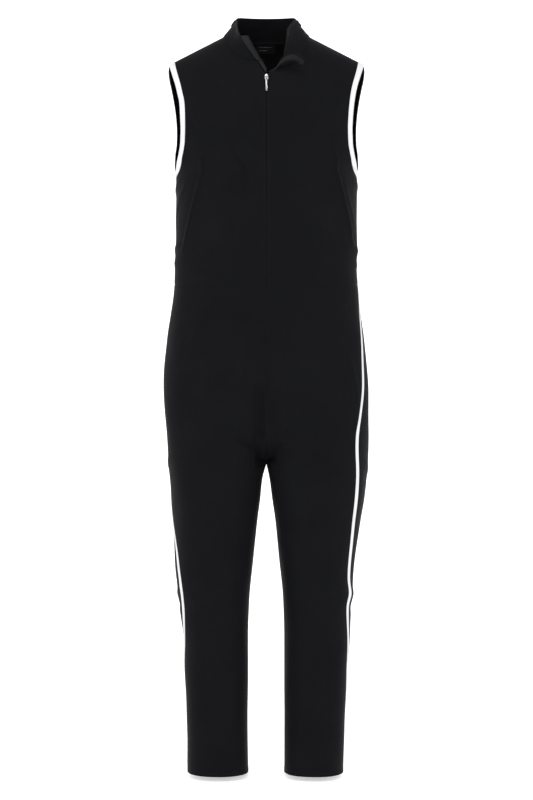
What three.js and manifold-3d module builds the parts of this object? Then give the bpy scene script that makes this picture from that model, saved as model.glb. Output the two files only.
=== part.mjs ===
// Sleeveless jumpsuit with a stand collar, a front zip and white side stripes, worn and filled out.
// Every cloth piece is a thin wall that follows the form of a general figure.
// Millimetres, +Z up, front towards -Y. The wearer's right side is -X and the left side is +X.
// The origin is level with the points where the shoulder seams meet the collar.
import * as THREE from "three";
import { mergeVertices } from "three/addons/utils/BufferGeometryUtils.js";
import Module from "manifold-3d";

// Cloth
const clothWall = 1.5;
const tapeWall = 0.8;
const seamGap = 0.4;
const layGap = 0.6;

// Heights of the main lines
const waistZ = -467;
const crotchZ = -800;
const hemZ = -1398;
const frontRiseZ = -655;
const backRiseZ = -640;
const armholeZ = -255;
const chestTopZ = -230;

// Shoulders and neck
const neckHalf = 81;
const neckRise = 20;
const tipHalf = 184;
const tipZ = -52;
const shoulderSeamY = 5;
const backNeckZ = -4;
const frontShoulderPower = 2.2;
const backShoulderPower = 4;
const openingZ = -78;
const rightNeck = { x: 18, z: -50 };
const leftNeck = { x: 18, z: -63 };
const neckShare = 0.42;

// Below 1, the bodice's upright lines lean from the waist in towards the neck.
const waistLean = 0.72;

// White tapes
const stripeWidth = 10;
const armholeTapeWidth = 11;
const tapeEdgeInset = 0.6;
const armholeTapeColumns = 2;
const armholeTapeGap = 0.8;
const tipShare = 0.8;

// Mesh density
const bodiceRows = 18;
const armholeRow = 6;
const neckColumns = 6;
const shoulderColumns = 4;
const armholeColumnShare = 0.95;
const trouserColumns = 10;
const hipRows = 5;
const riseRows = 7;
const legRows = 15;

// How square a section is: 2 is an ellipse.
const sectionPower = 2.3;

// Half-widths of the wearer's right and left sides, and the depths to the front and back.
const form = [
  { z: 10, right: 201, left: 201, front: 102, back: 98 },
  { z: -51, right: 193, left: 193, front: 107, back: 106 },
  { z: -110, right: 181, left: 180, front: 112, back: 111 },
  { z: -180, right: 174, left: 173, front: 117, back: 112 },
  { z: -255, right: 171, left: 171, front: 121, back: 108 },
  { z: -345, right: 172, left: 170.5, front: 120, back: 98 },
  { z: -420, right: 173, left: 170, front: 115, back: 92 },
  { z: -467, right: 175, left: 173, front: 112, back: 95 },
  { z: -520, right: 181, left: 179, front: 114, back: 108 },
  { z: -572, right: 189, left: 186, front: 116, back: 122 },
  { z: -667, right: 196, left: 194, front: 116, back: 137 },
  { z: -740, right: 191, left: 194, front: 113, back: 134 },
  { z: -800, right: 187, left: 193, front: 109, back: 123 },
  { z: -838, right: 183.5, left: 190, front: 104, back: 112 },
  { z: -876, right: 181, left: 186, front: 99, back: 103 },
  { z: -914, right: 178, left: 180, front: 94, back: 96 },
  { z: -990, right: 175, left: 169, front: 85, back: 87 },
  { z: -1066, right: 168, left: 163, front: 77, back: 80 },
  { z: -1142, right: 158.5, left: 159, front: 70, back: 74 },
  { z: -1218, right: 156, left: 153.5, front: 65, back: 70 },
  { z: -1294, right: 152.5, left: 150, front: 61, back: 68 },
  { z: -1400, right: 150.5, left: 147.5, front: 58, back: 66 },
];

// The inside of each leg, as a distance from the centre. It starts at the crotch.
const insides = [
  { z: -800, right: 0.5, left: 0.5 },
  { z: -838, right: 8, left: 6 },
  { z: -876, right: 12, left: 11 },
  { z: -914, right: 17, left: 16.5 },
  { z: -990, right: 25, left: 24 },
  { z: -1066, right: 32.5, left: 31.5 },
  { z: -1142, right: 35, left: 33.5 },
  { z: -1218, right: 35, left: 33.5 },
  { z: -1294, right: 36, left: 34 },
  { z: -1400, right: 35, left: 34 },
];

// How far each side seam lies from the side line towards the front centre, as a share of the way.
const seams = [
  { z: -255, right: 0, left: 0 },
  { z: -345, right: 0, left: 0.01 },
  { z: -420, right: -0.02, left: 0.02 },
  { z: -467, right: -0.04, left: 0.04 },
  { z: -520, right: -0.06, left: 0.09 },
  { z: -572, right: -0.08, left: 0.16 },
  { z: -667, right: -0.08, left: 0.24 },
  { z: -740, right: -0.07, left: 0.26 },
  { z: -800, right: -0.05, left: 0.23 },
  { z: -838, right: -0.04, left: 0.225 },
  { z: -876, right: -0.02, left: 0.225 },
  { z: -914, right: 0.01, left: 0.22 },
  { z: -990, right: 0.1, left: 0.2 },
  { z: -1066, right: 0.15, left: 0.185 },
  { z: -1142, right: 0.06, left: 0.12 },
  { z: -1218, right: 0, left: 0.06 },
  { z: -1294, right: 0, left: 0.02 },
  { z: -1400, right: 0, left: 0 },
];

// How far the armhole's edges lie from the centre, as seen from the front.
const armhole = [
  { z: -52, front: 184, back: 184 },
  { z: -63, front: 180, back: 186 },
  { z: -78, front: 176.5, back: 184 },
  { z: -97, front: 174, back: 181 },
  { z: -116, front: 171.5, back: 178 },
  { z: -135, front: 168.5, back: 174.5 },
  { z: -154, front: 165.5, back: 172 },
  { z: -183, front: 163, back: 169.3 },
  { z: -211, front: 163.5, back: 168.3 },
  { z: -235, front: 166.5, back: 168.6 },
  { z: -256, front: 171.1, back: 171.1 },
];

// The largest folds: soft ridges (height above 0) and troughs along straight lines on the front
// (face 1) and back (face -1). Sides are kept apart by the sign of x.
const folds = [
  { face: 1, fromX: -112, fromZ: -195, toX: -158, toZ: -415, reach: 17, height: 5 },
  { face: 1, fromX: 120, fromZ: -215, toX: 166, toZ: -410, reach: 17, height: 6 },
  { face: 1, fromX: -62, fromZ: -205, toX: -32, toZ: -300, reach: 14, height: -4 },
  { face: 1, fromX: -155, fromZ: -125, toX: -120, toZ: -180, reach: 14, height: -4 },
  { face: 1, fromX: 1, fromZ: -575, toX: -8, toZ: -745, reach: 16, height: -8 },
  { face: 1, fromX: -38, fromZ: -545, toX: -44, toZ: -735, reach: 16, height: 4 },
  { face: 1, fromX: 30, fromZ: -545, toX: 34, toZ: -740, reach: 16, height: 4 },
  { face: 1, fromX: 158, fromZ: -585, toX: 170, toZ: -725, reach: 16, height: 5 },
  { face: 1, fromX: 114, fromZ: -1015, toX: 154, toZ: -1050, reach: 15, height: 5 },
  { face: 1, fromX: -70, fromZ: -1030, toX: -128, toZ: -1065, reach: 18, height: 4 },
  { face: -1, fromX: -60, fromZ: -395, toX: -150, toZ: -425, reach: 18, height: 5 },
  { face: -1, fromX: 55, fromZ: -410, toX: 148, toZ: -440, reach: 18, height: 5 },
  { face: -1, fromX: -105, fromZ: -120, toX: -80, toZ: -300, reach: 20, height: 4 },
  { face: -1, fromX: 100, fromZ: -130, toX: 84, toZ: -310, reach: 20, height: 4 },
  { face: -1, fromX: -60, fromZ: -800, toX: -130, toZ: -860, reach: 18, height: 5 },
  { face: -1, fromX: 60, fromZ: -805, toX: 128, toZ: -870, reach: 18, height: 5 },
  { face: -1, fromX: -60, fromZ: -1040, toX: -130, toZ: -1085, reach: 16, height: -4 },
  { face: -1, fromX: 62, fromZ: -1050, toX: 126, toZ: -1080, reach: 16, height: -4 },
];

// Folds die away over this share of the way round, before a side seam or an inseam.
const foldFade = 0.14;

// The collar from the wearer's right end (-1) round the back (0) to the left end (1): the middle
// and the top of each upright line. The left end stands open and rolls outwards.
const collarLines = [
  { at: -1, midX: -32, midY: -83, midZ: -28, topX: -46, topY: -78, topZ: -6 },
  { at: -0.75, midX: -57, midY: -52, midZ: -7, topX: -53, topY: -46, topZ: 13 },
  { at: -0.5, midX: -68, midY: 2, midZ: 18, topX: -57, topY: 2, topZ: 35 },
  { at: -0.25, midX: -51, midY: 50, midZ: 21, topX: -45, topY: 46, topZ: 43 },
  { at: 0, midX: 0, midY: 74, midZ: 21, topX: 0, topY: 68, topZ: 44 },
  { at: 0.25, midX: 51, midY: 50, midZ: 21, topX: 45, topY: 46, topZ: 43 },
  { at: 0.5, midX: 67, midY: 2, midZ: 18, topX: 55, topY: 0, topZ: 35 },
  { at: 0.75, midX: 45, midY: -60, midZ: -14, topX: 39, topY: -60, topZ: 4 },
  { at: 0.88, midX: 35, midY: -87, midZ: -30, topX: 48, topY: -92, topZ: -20 },
  { at: 1, midX: 42, midY: -101, midZ: -42, topX: 72, topY: -101, topZ: -56 },
];
const collarRows = 5;
const collarGap = 0.8;
const collarColumns = 4 * neckColumns;

// The free edge of each zip tape, measured from the cloth edge, from the slider up to the top.
const tapeStart = 5;
const tapeSeat = 2;
const zipTapeRows = 10;
const rightTapeReach = [
  { at: 0, x: 1.5, y: 0, z: 0 },
  { at: 0.4, x: 5, y: -0.5, z: 0 },
  { at: 1, x: 10, y: -1, z: 1 },
];
const leftTapeReach = [
  { at: 0, x: -1.5, y: 0, z: 0 },
  { at: 0.3, x: -2, y: -1.5, z: -3 },
  { at: 0.65, x: 3, y: -5, z: -11 },
  { at: 1, x: 5, y: -1, z: -4 },
];

// Slider and pull tab
const sliderZ = -83;
const sliderBody = { width: 7, length: 9.5, thick: 2.6 };
const bail = { width: 1.6, length: 7.4, top: 5.4, stand: 4.2, bar: 1.2, sunk: 0.8 };
const tab = { eyeHalf: 3.2, holeHalf: 1.6, bar: 1.2, holeEnd: 6.4, width: 3.4, length: 20, thick: 1.2 };
const hingeStand = 1.6;
const tabRestDegrees = 6;

// Plain label inside the back neck
const label = { fromX: -21, toX: 17, topDrop: 2, height: 16, gap: 0.9 };

const black = { color: 0x17181b, roughness: 0.85, metalness: 0 };
const white = { color: 0xe8e8ea, roughness: 0.8, metalness: 0 };
const tapeBlack = { color: 0x2a2b2f, roughness: 0.7, metalness: 0 };
const steel = { color: 0xb9bbc0, roughness: 0.35, metalness: 0.9 };

// A smooth curve through one column of a table, without overshoot.
function curveOf(table, along, column) {
  const at = table.map((row) => row[along]);
  const value = table.map((row) => row[column]);
  const rise = at.slice(1).map((_, i) => (value[i + 1] - value[i]) / (at[i + 1] - at[i]));
  const slope = value.map((_, i) => {
    const before = rise[Math.max(i - 1, 0)];
    const after = rise[Math.min(i, rise.length - 1)];
    return before * after <= 0 ? 0 : (2 * before * after) / (before + after);
  });
  const direction = Math.sign(at[1] - at[0]);
  return (place) => {
    let i = 0;
    while (i < rise.length - 1 && (place - at[i + 1]) * direction > 0) i += 1;
    const span = at[i + 1] - at[i];
    const t = THREE.MathUtils.clamp((place - at[i]) / span, 0, 1);
    const s = 1 - t;
    return (
      s * s * (1 + 2 * t) * value[i] +
      t * t * (1 + 2 * s) * value[i + 1] +
      span * s * t * (s * slope[i] - t * slope[i + 1])
    );
  };
}

const frontDepth = curveOf(form, "z", "front");
const backDepth = curveOf(form, "z", "back");
const frontArmholeX = curveOf(armhole, "z", "front");
const backArmholeX = curveOf(armhole, "z", "back");

function makeSide(name, sign, neck) {
  return {
    name,
    sign,
    neck,
    outer: curveOf(form, "z", name),
    inner: curveOf(insides, "z", name),
    seam: curveOf(seams, "z", name),
  };
}
const rightSide = makeSide("right", -1, rightNeck);
const leftSide = makeSide("left", 1, leftNeck);
const bothSides = [rightSide, leftSide];

const mix = THREE.MathUtils.lerp;
const smooth = (share) => THREE.MathUtils.smoothstep(share, 0, 1);
const rounded = (value) => Math.sign(value) * Math.abs(value) ** (2 / sectionPower);

// The share of the leg's own section, from 0 on the trunk to 1 at the crotch and below. At the
// centre the change follows a quarter ellipse, the crotch curve, and further out it is smooth.
function legShare(z, around) {
  const startZ = around > 0 ? frontRiseZ : backRiseZ;
  const share = THREE.MathUtils.clamp((startZ - z) / (startZ - crotchZ), 0, 1);
  const nearCentre = smooth((Math.abs(around) - 0.6) / 0.4);
  return 1 - (1 - share * share) ** mix(2, 0.5, nearCentre);
}

// The folds' height at a place seen from the front or back.
function foldHeight(x, z, isFront) {
  let height = 0;
  for (const fold of folds) {
    if (fold.face > 0 !== isFront) continue;
    const alongX = fold.toX - fold.fromX;
    const alongZ = fold.toZ - fold.fromZ;
    const share = ((x - fold.fromX) * alongX + (z - fold.fromZ) * alongZ) / (alongX ** 2 + alongZ ** 2);
    const near = THREE.MathUtils.clamp(share, 0, 1);
    const away = Math.hypot(x - fold.fromX - near * alongX, z - fold.fromZ - near * alongZ);
    height += fold.height * Math.exp(-((away / fold.reach) ** 2));
  }
  return height;
}

function centreGap(z, isFront) {
  return z > waistZ && !isFront ? 0 : seamGap / 2;
}

// A point on the outside of the cloth. Around goes from 1 at the front centre (or the front of the
// inseam) through 0 at the side line to -1 at the back centre (or the back of the inseam).
function bodyPoint(side, z, around) {
  const isFront = around > 0;
  const share = Math.abs(around);
  const outer = side.outer(z);
  const inner = side.inner(z);
  const depth = isFront ? frontDepth(z) : backDepth(z);
  const gap = centreGap(z, isFront);
  const trunkTurn = (Math.PI / 2) * (1 - share);
  const trunkX = gap + (outer - gap) * rounded(Math.sin(trunkTurn));
  const trunkY = depth * rounded(Math.cos(trunkTurn));
  const legTurn = Math.PI * (0.5 - share);
  const legCentre = (outer + inner) / 2;
  const legX = legCentre + (legCentre - inner) * rounded(Math.sin(legTurn));
  const legY = gap * share + depth * rounded(Math.cos(legTurn));
  const blend = legShare(z, around);
  const centreX = blend * legCentre;
  let x = mix(trunkX, legX, blend);
  let y = mix(trunkY, legY, blend);
  const fade = smooth(share / foldFade) * mix(1, smooth((1 - share) / foldFade), blend);
  const lift = (fade * foldHeight(side.sign * x, z, isFront)) / Math.hypot(x - centreX, y);
  x += (x - centreX) * lift;
  y += y * lift;
  return new THREE.Vector3(side.sign * x, isFront ? -y : y, z);
}

// The height of the shoulder line over a distance from the centre, carried on across the neck.
function shoulderTop(x) {
  const slope = tipZ / (tipHalf - neckHalf);
  return x < neckHalf ? neckRise * (1 - (x / neckHalf) ** 2) : slope * (x - neckHalf);
}

// A point of the bodice: the trunk's section drawn in towards the shoulder seam above the chest.
function bodicePoint(side, z, around) {
  const point = bodyPoint(side, z, around);
  if (z <= chestTopZ) return point;
  const isFront = around > 0;
  const power = isFront ? frontShoulderPower : backShoulderPower;
  const top = shoulderTop(Math.abs(point.x));
  const share = Math.min(1, (z - chestTopZ) / (top - chestTopZ));
  const kept = (1 - share ** power) ** (1 / power);
  const gapY = ((isFront ? -1 : 1) * seamGap * share) / 2;
  point.y = shoulderSeamY * (1 - kept) + gapY + point.y * kept;
  return point;
}

// The share round the section at which the bodice lies at a distance x from the centre.
function aroundAt(side, x, z, isFront) {
  const gap = centreGap(z, isFront);
  const share = THREE.MathUtils.clamp((x - gap) / (side.outer(z) - gap), 0, 1);
  return 1 - Math.asin(share ** (sectionPower / 2)) / (Math.PI / 2);
}

// Half a seam gap as a share of the way round at a height.
function gapShare(side, z) {
  const depth = (frontDepth(z) + backDepth(z)) / 2;
  return seamGap / 2 / ((Math.PI / 2) * Math.hypot(side.outer(z), depth) * Math.SQRT1_2);
}

const rowAt = (row) => Math.sin(((Math.PI / 2) * row) / bodiceRows);
const armholeShare = rowAt(armholeRow);

// The edges of half a bodice, as the way round and the height. The share u runs from the centre to
// the side, and v from the waist to the neckline and shoulder.
function centreEdge(side, isFront, v) {
  if (!isFront) return { around: 1, z: mix(waistZ, backNeckZ, v) };
  const z = mix(waistZ, side.neck.z, v);
  const open = THREE.MathUtils.clamp((z - openingZ) / (side.neck.z - openingZ), 0, 1);
  return { around: aroundAt(side, side.neck.x * open, z, true), z };
}

function armholeEdge(side, isFront, share) {
  const z = mix(armholeZ, tipZ, share * share * (2 - share));
  const x = (isFront ? frontArmholeX : backArmholeX)(z);
  return { around: aroundAt(side, x, z, isFront), z };
}

function sideEdge(side, isFront, v) {
  if (v > armholeShare) return armholeEdge(side, isFront, (v - armholeShare) / (1 - armholeShare));
  const z = mix(waistZ, armholeZ, v / armholeShare);
  return { around: (isFront ? 1 : -1) * side.seam(z), z };
}

function topEdge(side, isFront, u) {
  if (u >= neckShare) {
    const x = mix(neckHalf, tipHalf, (u - neckShare) / (1 - neckShare));
    const z = shoulderTop(x);
    return { around: aroundAt(side, x, z, isFront), z };
  }
  const turn = ((Math.PI / 2) * u) / neckShare;
  const start = isFront ? side.neck : { x: 0, z: backNeckZ };
  const x = start.x + (neckHalf - start.x) * Math.sin(turn);
  const z = start.z * Math.cos(turn);
  return { around: aroundAt(side, x, z, isFront), z };
}

// A place on half a bodice, blended between its four edges. The centre edge bears on the lines up to
// the neck only.
function bodicePlace(side, isFront, u, v) {
  const centre = centreEdge(side, isFront, v);
  const edge = sideEdge(side, isFront, v);
  const top = topEdge(side, isFront, u);
  const topStart = topEdge(side, isFront, 0);
  const topEnd = topEdge(side, isFront, 1);
  const bottomEnd = sideEdge(side, isFront, 0);
  const bottomStart = centreEdge(side, isFront, 0);
  const nearCentre = Math.max(0, 1 - u / neckShare) ** 2;
  const blend = (key) =>
    mix(mix(bottomStart[key], bottomEnd[key], u ** waistLean), top[key], v) +
    nearCentre * (centre[key] - mix(bottomStart[key], topStart[key], v)) +
    u * (edge[key] - mix(bottomEnd[key], topEnd[key], v));
  const z = blend("z");
  const magnitude = blend("around") + gapShare(side, z) * u * (1 - v);
  return { around: isFront ? magnitude : -magnitude, z };
}

function bodiceAt(side, isFront, u, v) {
  const { around, z } = bodicePlace(side, isFront, u, v);
  return bodicePoint(side, z, around);
}

// The unit normal of a surface pointAt(u, v) over the unit square, on the side that the sign says.
function normalAt(pointAt, u, v, sign, beforeU = 1e-3) {
  const step = 1e-3;
  const limited = (value) => THREE.MathUtils.clamp(value, 0, 1);
  const alongU = pointAt(limited(u + step), v).sub(pointAt(u === 1 ? 1 - step : limited(u - beforeU), v));
  const alongV = pointAt(u, limited(v + step)).sub(pointAt(u, limited(v - step)));
  return alongU.cross(alongV).normalize().multiplyScalar(sign);
}

// The outward normal of the cloth at a place round the body and a height.
function clothNormal(side, z, around, pointOf) {
  const alongAround = pointOf(side, z, around + 1e-3).sub(pointOf(side, z, around - 1e-3));
  const alongZ = pointOf(side, z + 0.1, around).sub(pointOf(side, z - 0.1, around));
  return alongAround.cross(alongZ).normalize().multiplyScalar(-side.sign);
}

// The outward normal of half a bodice. Beside the neck the upright lines run along the neckline, so
// the normal comes from the body's own section there, and beyond it from the half's lines.
function bodiceNormal(side, isFront, u, v) {
  if (u < neckShare - 1e-6) {
    const { around, z } = bodicePlace(side, isFront, u, v);
    return clothNormal(side, z, around, bodicePoint);
  }
  const pointAt = (atU, atV) => bodiceAt(side, isFront, atU, atV);
  return normalAt(pointAt, u, v, isFront ? side.sign : -side.sign, 0);
}

// A closed wall between two equal grids of points.
function wallBetween(outer, inner) {
  const rows = outer.length;
  const columns = outer[0].length;
  const points = [...outer.flat(), ...inner.flat()];
  const faces = [];
  const outerAt = (row, column) => row * columns + column;
  const innerAt = (row, column) => rows * columns + row * columns + column;
  const addQuad = (a, b, c, d) => faces.push(a, b, c, a, c, d);
  for (let row = 0; row < rows - 1; row += 1) {
    const next = row + 1;
    for (let column = 0; column < columns - 1; column += 1) {
      const beside = column + 1;
      addQuad(outerAt(row, column), outerAt(row, beside), outerAt(next, beside), outerAt(next, column));
      addQuad(innerAt(row, column), innerAt(next, column), innerAt(next, beside), innerAt(row, beside));
    }
    const last = columns - 1;
    addQuad(outerAt(row, 0), outerAt(next, 0), innerAt(next, 0), innerAt(row, 0));
    addQuad(outerAt(next, last), outerAt(row, last), innerAt(row, last), innerAt(next, last));
  }
  for (let column = 0; column < columns - 1; column += 1) {
    const beside = column + 1;
    const last = rows - 1;
    addQuad(outerAt(0, beside), outerAt(0, column), innerAt(0, column), innerAt(0, beside));
    addQuad(outerAt(last, column), outerAt(last, beside), innerAt(last, beside), innerAt(last, column));
  }
  return outwardGeometry(points, faces);
}

// Indexed geometry from points and triangles, turned so that its faces point out.
function outwardGeometry(points, faces) {
  let volume = 0;
  for (let i = 0; i < faces.length; i += 3) {
    const [a, b, c] = [points[faces[i]], points[faces[i + 1]], points[faces[i + 2]]];
    volume += a.dot(b.clone().cross(c));
  }
  if (volume < 0) faces.reverse();
  const geometry = new THREE.BufferGeometry().setFromPoints(points);
  geometry.setIndex(faces);
  geometry.computeVertexNormals();
  return geometry;
}

const spread = (count, from = 0, to = 1) =>
  Array.from({ length: count + 1 }, (_, i) => mix(from, to, i / count));

// Outer and inner points of a wall on pointAt(u, v), for lists of columns and rows. Rows listed as
// level keep the height of the outer points, so that the cut is flat.
function wallOn(pointAt, normalOf, columns, rows, thickness, levelRows = []) {
  const outer = rows.map((v) => columns.map((u) => pointAt(u, v)));
  const inner = rows.map((v, row) =>
    columns.map((u, column) => {
      const point = outer[row][column].clone();
      point.addScaledVector(normalOf(u, v), -thickness);
      if (levelRows.includes(row)) point.z = outer[row][column].z;
      return point;
    }),
  );
  return { outer, inner };
}

const bodiceColumnList = [
  ...spread(neckColumns, 0, neckShare),
  ...spread(shoulderColumns, neckShare, 2 * armholeColumnShare - 1).slice(1),
  armholeColumnShare,
  1,
];
const bodiceRowList = Array.from({ length: bodiceRows + 1 }, (_, row) => rowAt(row));

function bodiceHalf(side, isFront) {
  const pointAt = (u, v) => bodiceAt(side, isFront, u, v);
  const normalOf = (u, v) => bodiceNormal(side, isFront, u, v);
  return wallOn(pointAt, normalOf, bodiceColumnList, bodiceRowList, clothWall, [0]);
}

function bodiceFront(side) {
  const { outer, inner } = bodiceHalf(side, true);
  return wallBetween(outer, inner);
}

// The back bodice is one piece, so its two halves share the column at the centre.
function bodiceBack() {
  const halves = bothSides.map((side) => bodiceHalf(side, false));
  const joinRows = (key) =>
    bodiceRowList.map((_, row) => [...halves[0][key][row].slice(1).reverse(), ...halves[1][key][row]]);
  return wallBetween(joinRows("outer"), joinRows("inner"));
}

// Heights of the trouser rows, finer where the legs part.
function trouserHeights() {
  const top = waistZ - seamGap;
  const hip = spread(hipRows, top, backRiseZ);
  const rise = spread(riseRows).map((share) => mix(backRiseZ, crotchZ, Math.sin((Math.PI / 2) * share)));
  const leg = spread(legRows, crotchZ, hemZ);
  return [...hip, ...rise.slice(1), ...leg.slice(1)];
}
const trouserRowList = trouserHeights().map((z) => (z - hemZ) / -hemZ);

const trouserHeight = (v) => hemZ - v * hemZ;

function trouserAround(side, isFront, u, z) {
  const gap = gapShare(side, z) * (1 + legShare(z, 0) * 0.4);
  return isFront ? mix(side.seam(z) + gap, 1, u) : mix(side.seam(z) - gap, -1, u);
}

function trouserPanel(side, isFront) {
  const pointAt = (u, v) => {
    const z = trouserHeight(v);
    return bodyPoint(side, z, trouserAround(side, isFront, u, z));
  };
  const normalOf = (u, v) => normalAt(pointAt, u, v, isFront ? -side.sign : side.sign);
  const ends = [0, trouserRowList.length - 1];
  const { outer, inner } = wallOn(pointAt, normalOf, spread(trouserColumns), trouserRowList, clothWall, ends);
  return wallBetween(outer, inner);
}

// A tape on a surface: a thin wall over edge points and normals, moved out from the cloth.
function tapeOver(lines, gap = layGap) {
  const move = (distance) =>
    lines.map((line) => line.map(({ point, normal }) => point.clone().addScaledVector(normal, distance)));
  return wallBetween(move(gap + tapeWall), move(gap));
}

function stripeLine(side, z, pointOf) {
  const depth = (frontDepth(z) + backDepth(z)) / 2;
  const blend = legShare(z, side.seam(z));
  const trunkLength = (Math.PI / 2) * Math.hypot(side.outer(z), depth) * Math.SQRT1_2;
  const legLength = Math.PI * Math.hypot((side.outer(z) - side.inner(z)) / 2, depth) * Math.SQRT1_2;
  const half = stripeWidth / 2 / mix(trunkLength, legLength, blend);
  const seam = side.seam(z);
  return [seam + half, seam - half].map((around) => {
    return { point: pointOf(side, z, around), normal: clothNormal(side, z, around, pointOf) };
  });
}

function bodiceStripe(side) {
  const heights = spread(armholeRow, waistZ, armholeZ - armholeTapeWidth - seamGap);
  return tapeOver(heights.map((z) => stripeLine(side, z, bodyPoint)));
}

function legStripe(side) {
  const heights = trouserHeights().map((z) => Math.max(z, hemZ + 1));
  return tapeOver(heights.map((z) => stripeLine(side, z, bodyPoint)));
}

// Places across the armhole tape at a share of the way up the armhole's edge, from near the edge to
// the tape's width inside it. They lie square to the edge, but for the shoulder, where the tape keeps
// to the row.
function armholeTapeLine(side, isFront, share) {
  const face = isFront ? 1 : -1;
  const clothAt = (around, z) => bodicePoint(side, z, face * (around + gapShare(side, z)));
  const { around, z } = armholeEdge(side, isFront, share);
  const edgeAt = (place) => {
    const edge = armholeEdge(side, isFront, THREE.MathUtils.clamp(place, 0, 1));
    return clothAt(edge.around, edge.z);
  };
  const slopeAround = clothAt(around + 1e-3, z).sub(clothAt(around, z)).multiplyScalar(1e3);
  const slopeZ = clothAt(around, z).sub(clothAt(around, z - 0.1)).multiplyScalar(10);
  const normal = slopeAround.clone().cross(slopeZ).normalize().multiplyScalar(-side.sign * face);
  const along = edgeAt(share + 0.03).sub(edgeAt(share - 0.03)).normalize();
  const inwards = normal.clone().cross(along).multiplyScalar(side.sign * face);
  const [aa, az, zz] = [slopeAround.dot(slopeAround), slopeAround.dot(slopeZ), slopeZ.dot(slopeZ)];
  const [da, dz] = [slopeAround.dot(inwards), slopeZ.dot(inwards)];
  const scale = aa * zz - az * az;
  const pointAt = (u, w) => bodiceAt(side, isFront, u, w);
  const v = mix(armholeShare, 1, share);
  const rowLength = pointAt(1, v).distanceTo(pointAt(armholeColumnShare, v)) / (1 - armholeColumnShare);
  return spread(armholeTapeColumns, tapeEdgeInset, armholeTapeWidth).map((distance) => {
    if (share > tipShare) {
      const u = 1 - distance / rowLength;
      return { point: pointAt(u, v), normal: normalAt(pointAt, u, v, side.sign * face) };
    }
    const stepAround = ((zz * da - az * dz) / scale) * distance;
    const stepZ = ((aa * dz - az * da) / scale) * distance;
    return { point: clothAt(around + stepAround, z + stepZ), normal };
  });
}

// The tape round an armhole runs down the front bodice and up the back.
function armholeTape(side) {
  const shares = bodiceRowList.slice(armholeRow).map((v) => (v - armholeShare) / (1 - armholeShare));
  shares.splice(1, 0, shares[1] / 2);
  const frontLines = shares.map((share) => armholeTapeLine(side, true, share)).reverse();
  const backLines = shares.slice(1).map((share) => armholeTapeLine(side, false, share));
  return tapeOver([...frontLines, ...backLines], armholeTapeGap);
}

// The neckline from the right front end (-1) round the back (0) to the left front end (1), with the
// way from it to the collar (square to the seam and along the cloth) and the cloth's normal.
function neckline(at) {
  const side = at < 0 ? rightSide : leftSide;
  const away = Math.abs(at);
  const isFront = away > 0.5;
  const shareAt = (place) => Math.min(isFront ? 2 * (1 - place) : 2 * place, 1) * neckShare;
  const point = bodiceAt(side, isFront, shareAt(away), 1);
  const inner = bodiceAt(side, isFront, shareAt(mix(away, isFront ? 1 : 0, 0.02)), 1);
  const along = inner.sub(point);
  if (along.length() === 0) along.set(1, 0, 0);
  const normal = bodiceNormal(side, isFront, Math.min(shareAt(away), neckShare * 0.999), 1);
  const across = along.clone().cross(normal).normalize();
  const centre = new THREE.Vector3(0, 0, neckRise);
  if (across.dot(centre.sub(point)) < 0) across.negate();
  return { point, across, normal };
}

const collarCurves = Object.fromEntries(
  ["midX", "midY", "midZ", "topX", "topY", "topZ"].map((key) => [key, curveOf(collarLines, "at", key)]),
);

// A point of the collar, from its seam (up 0) to its top edge (up 1).
function collarPoint(at, up) {
  const { point, across } = neckline(at);
  const base = point.addScaledVector(across, collarGap);
  const middle = new THREE.Vector3(collarCurves.midX(at), collarCurves.midY(at), collarCurves.midZ(at));
  const top = new THREE.Vector3(collarCurves.topX(at), collarCurves.topY(at), collarCurves.topZ(at));
  return new THREE.Vector3()
    .addScaledVector(base, (1 - up) * (1 - 2 * up))
    .addScaledVector(middle, 4 * up * (1 - up))
    .addScaledVector(top, up * (2 * up - 1));
}

function collar() {
  const pointAt = (u, v) => collarPoint(mix(-1, 1, u), v);
  const normalOf = (u, v) => (v === 0 ? neckline(mix(-1, 1, u)).normal : normalAt(pointAt, u, v, -1));
  const { outer, inner } = wallOn(pointAt, normalOf, spread(collarColumns), spread(collarRows), clothWall);
  return wallBetween(outer, inner);
}

// The cloth edge of the neck opening: up the front bodice and then up the end of the collar.
function openingEdge(side, at) {
  const bodicePart = 0.3;
  if (at <= bodicePart) {
    const z = mix(openingZ + tapeStart, side.neck.z, at / bodicePart);
    return bodiceAt(side, true, 0, (z - waistZ) / (side.neck.z - waistZ));
  }
  return collarPoint(side.sign, (at - bodicePart) / (1 - bodicePart));
}

function zipTape(side, reach) {
  const reachCurve = ["x", "y", "z"].map((key) => curveOf(reach, "at", key));
  const pointAt = (u, v) => {
    const edge = openingEdge(side, v);
    const [x, y, z] = reachCurve.map((curve) => curve(v));
    const out = new THREE.Vector3(x, y, z);
    const start = out.clone().normalize().multiplyScalar(tapeSeat);
    return edge.add(start).addScaledVector(out, u);
  };
  const normalOf = (u, v) => normalAt(pointAt, u, v, -side.sign);
  const { outer, inner } = wallOn(pointAt, normalOf, [0, 1], spread(zipTapeRows), tapeWall);
  return wallBetween(outer, inner);
}

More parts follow.
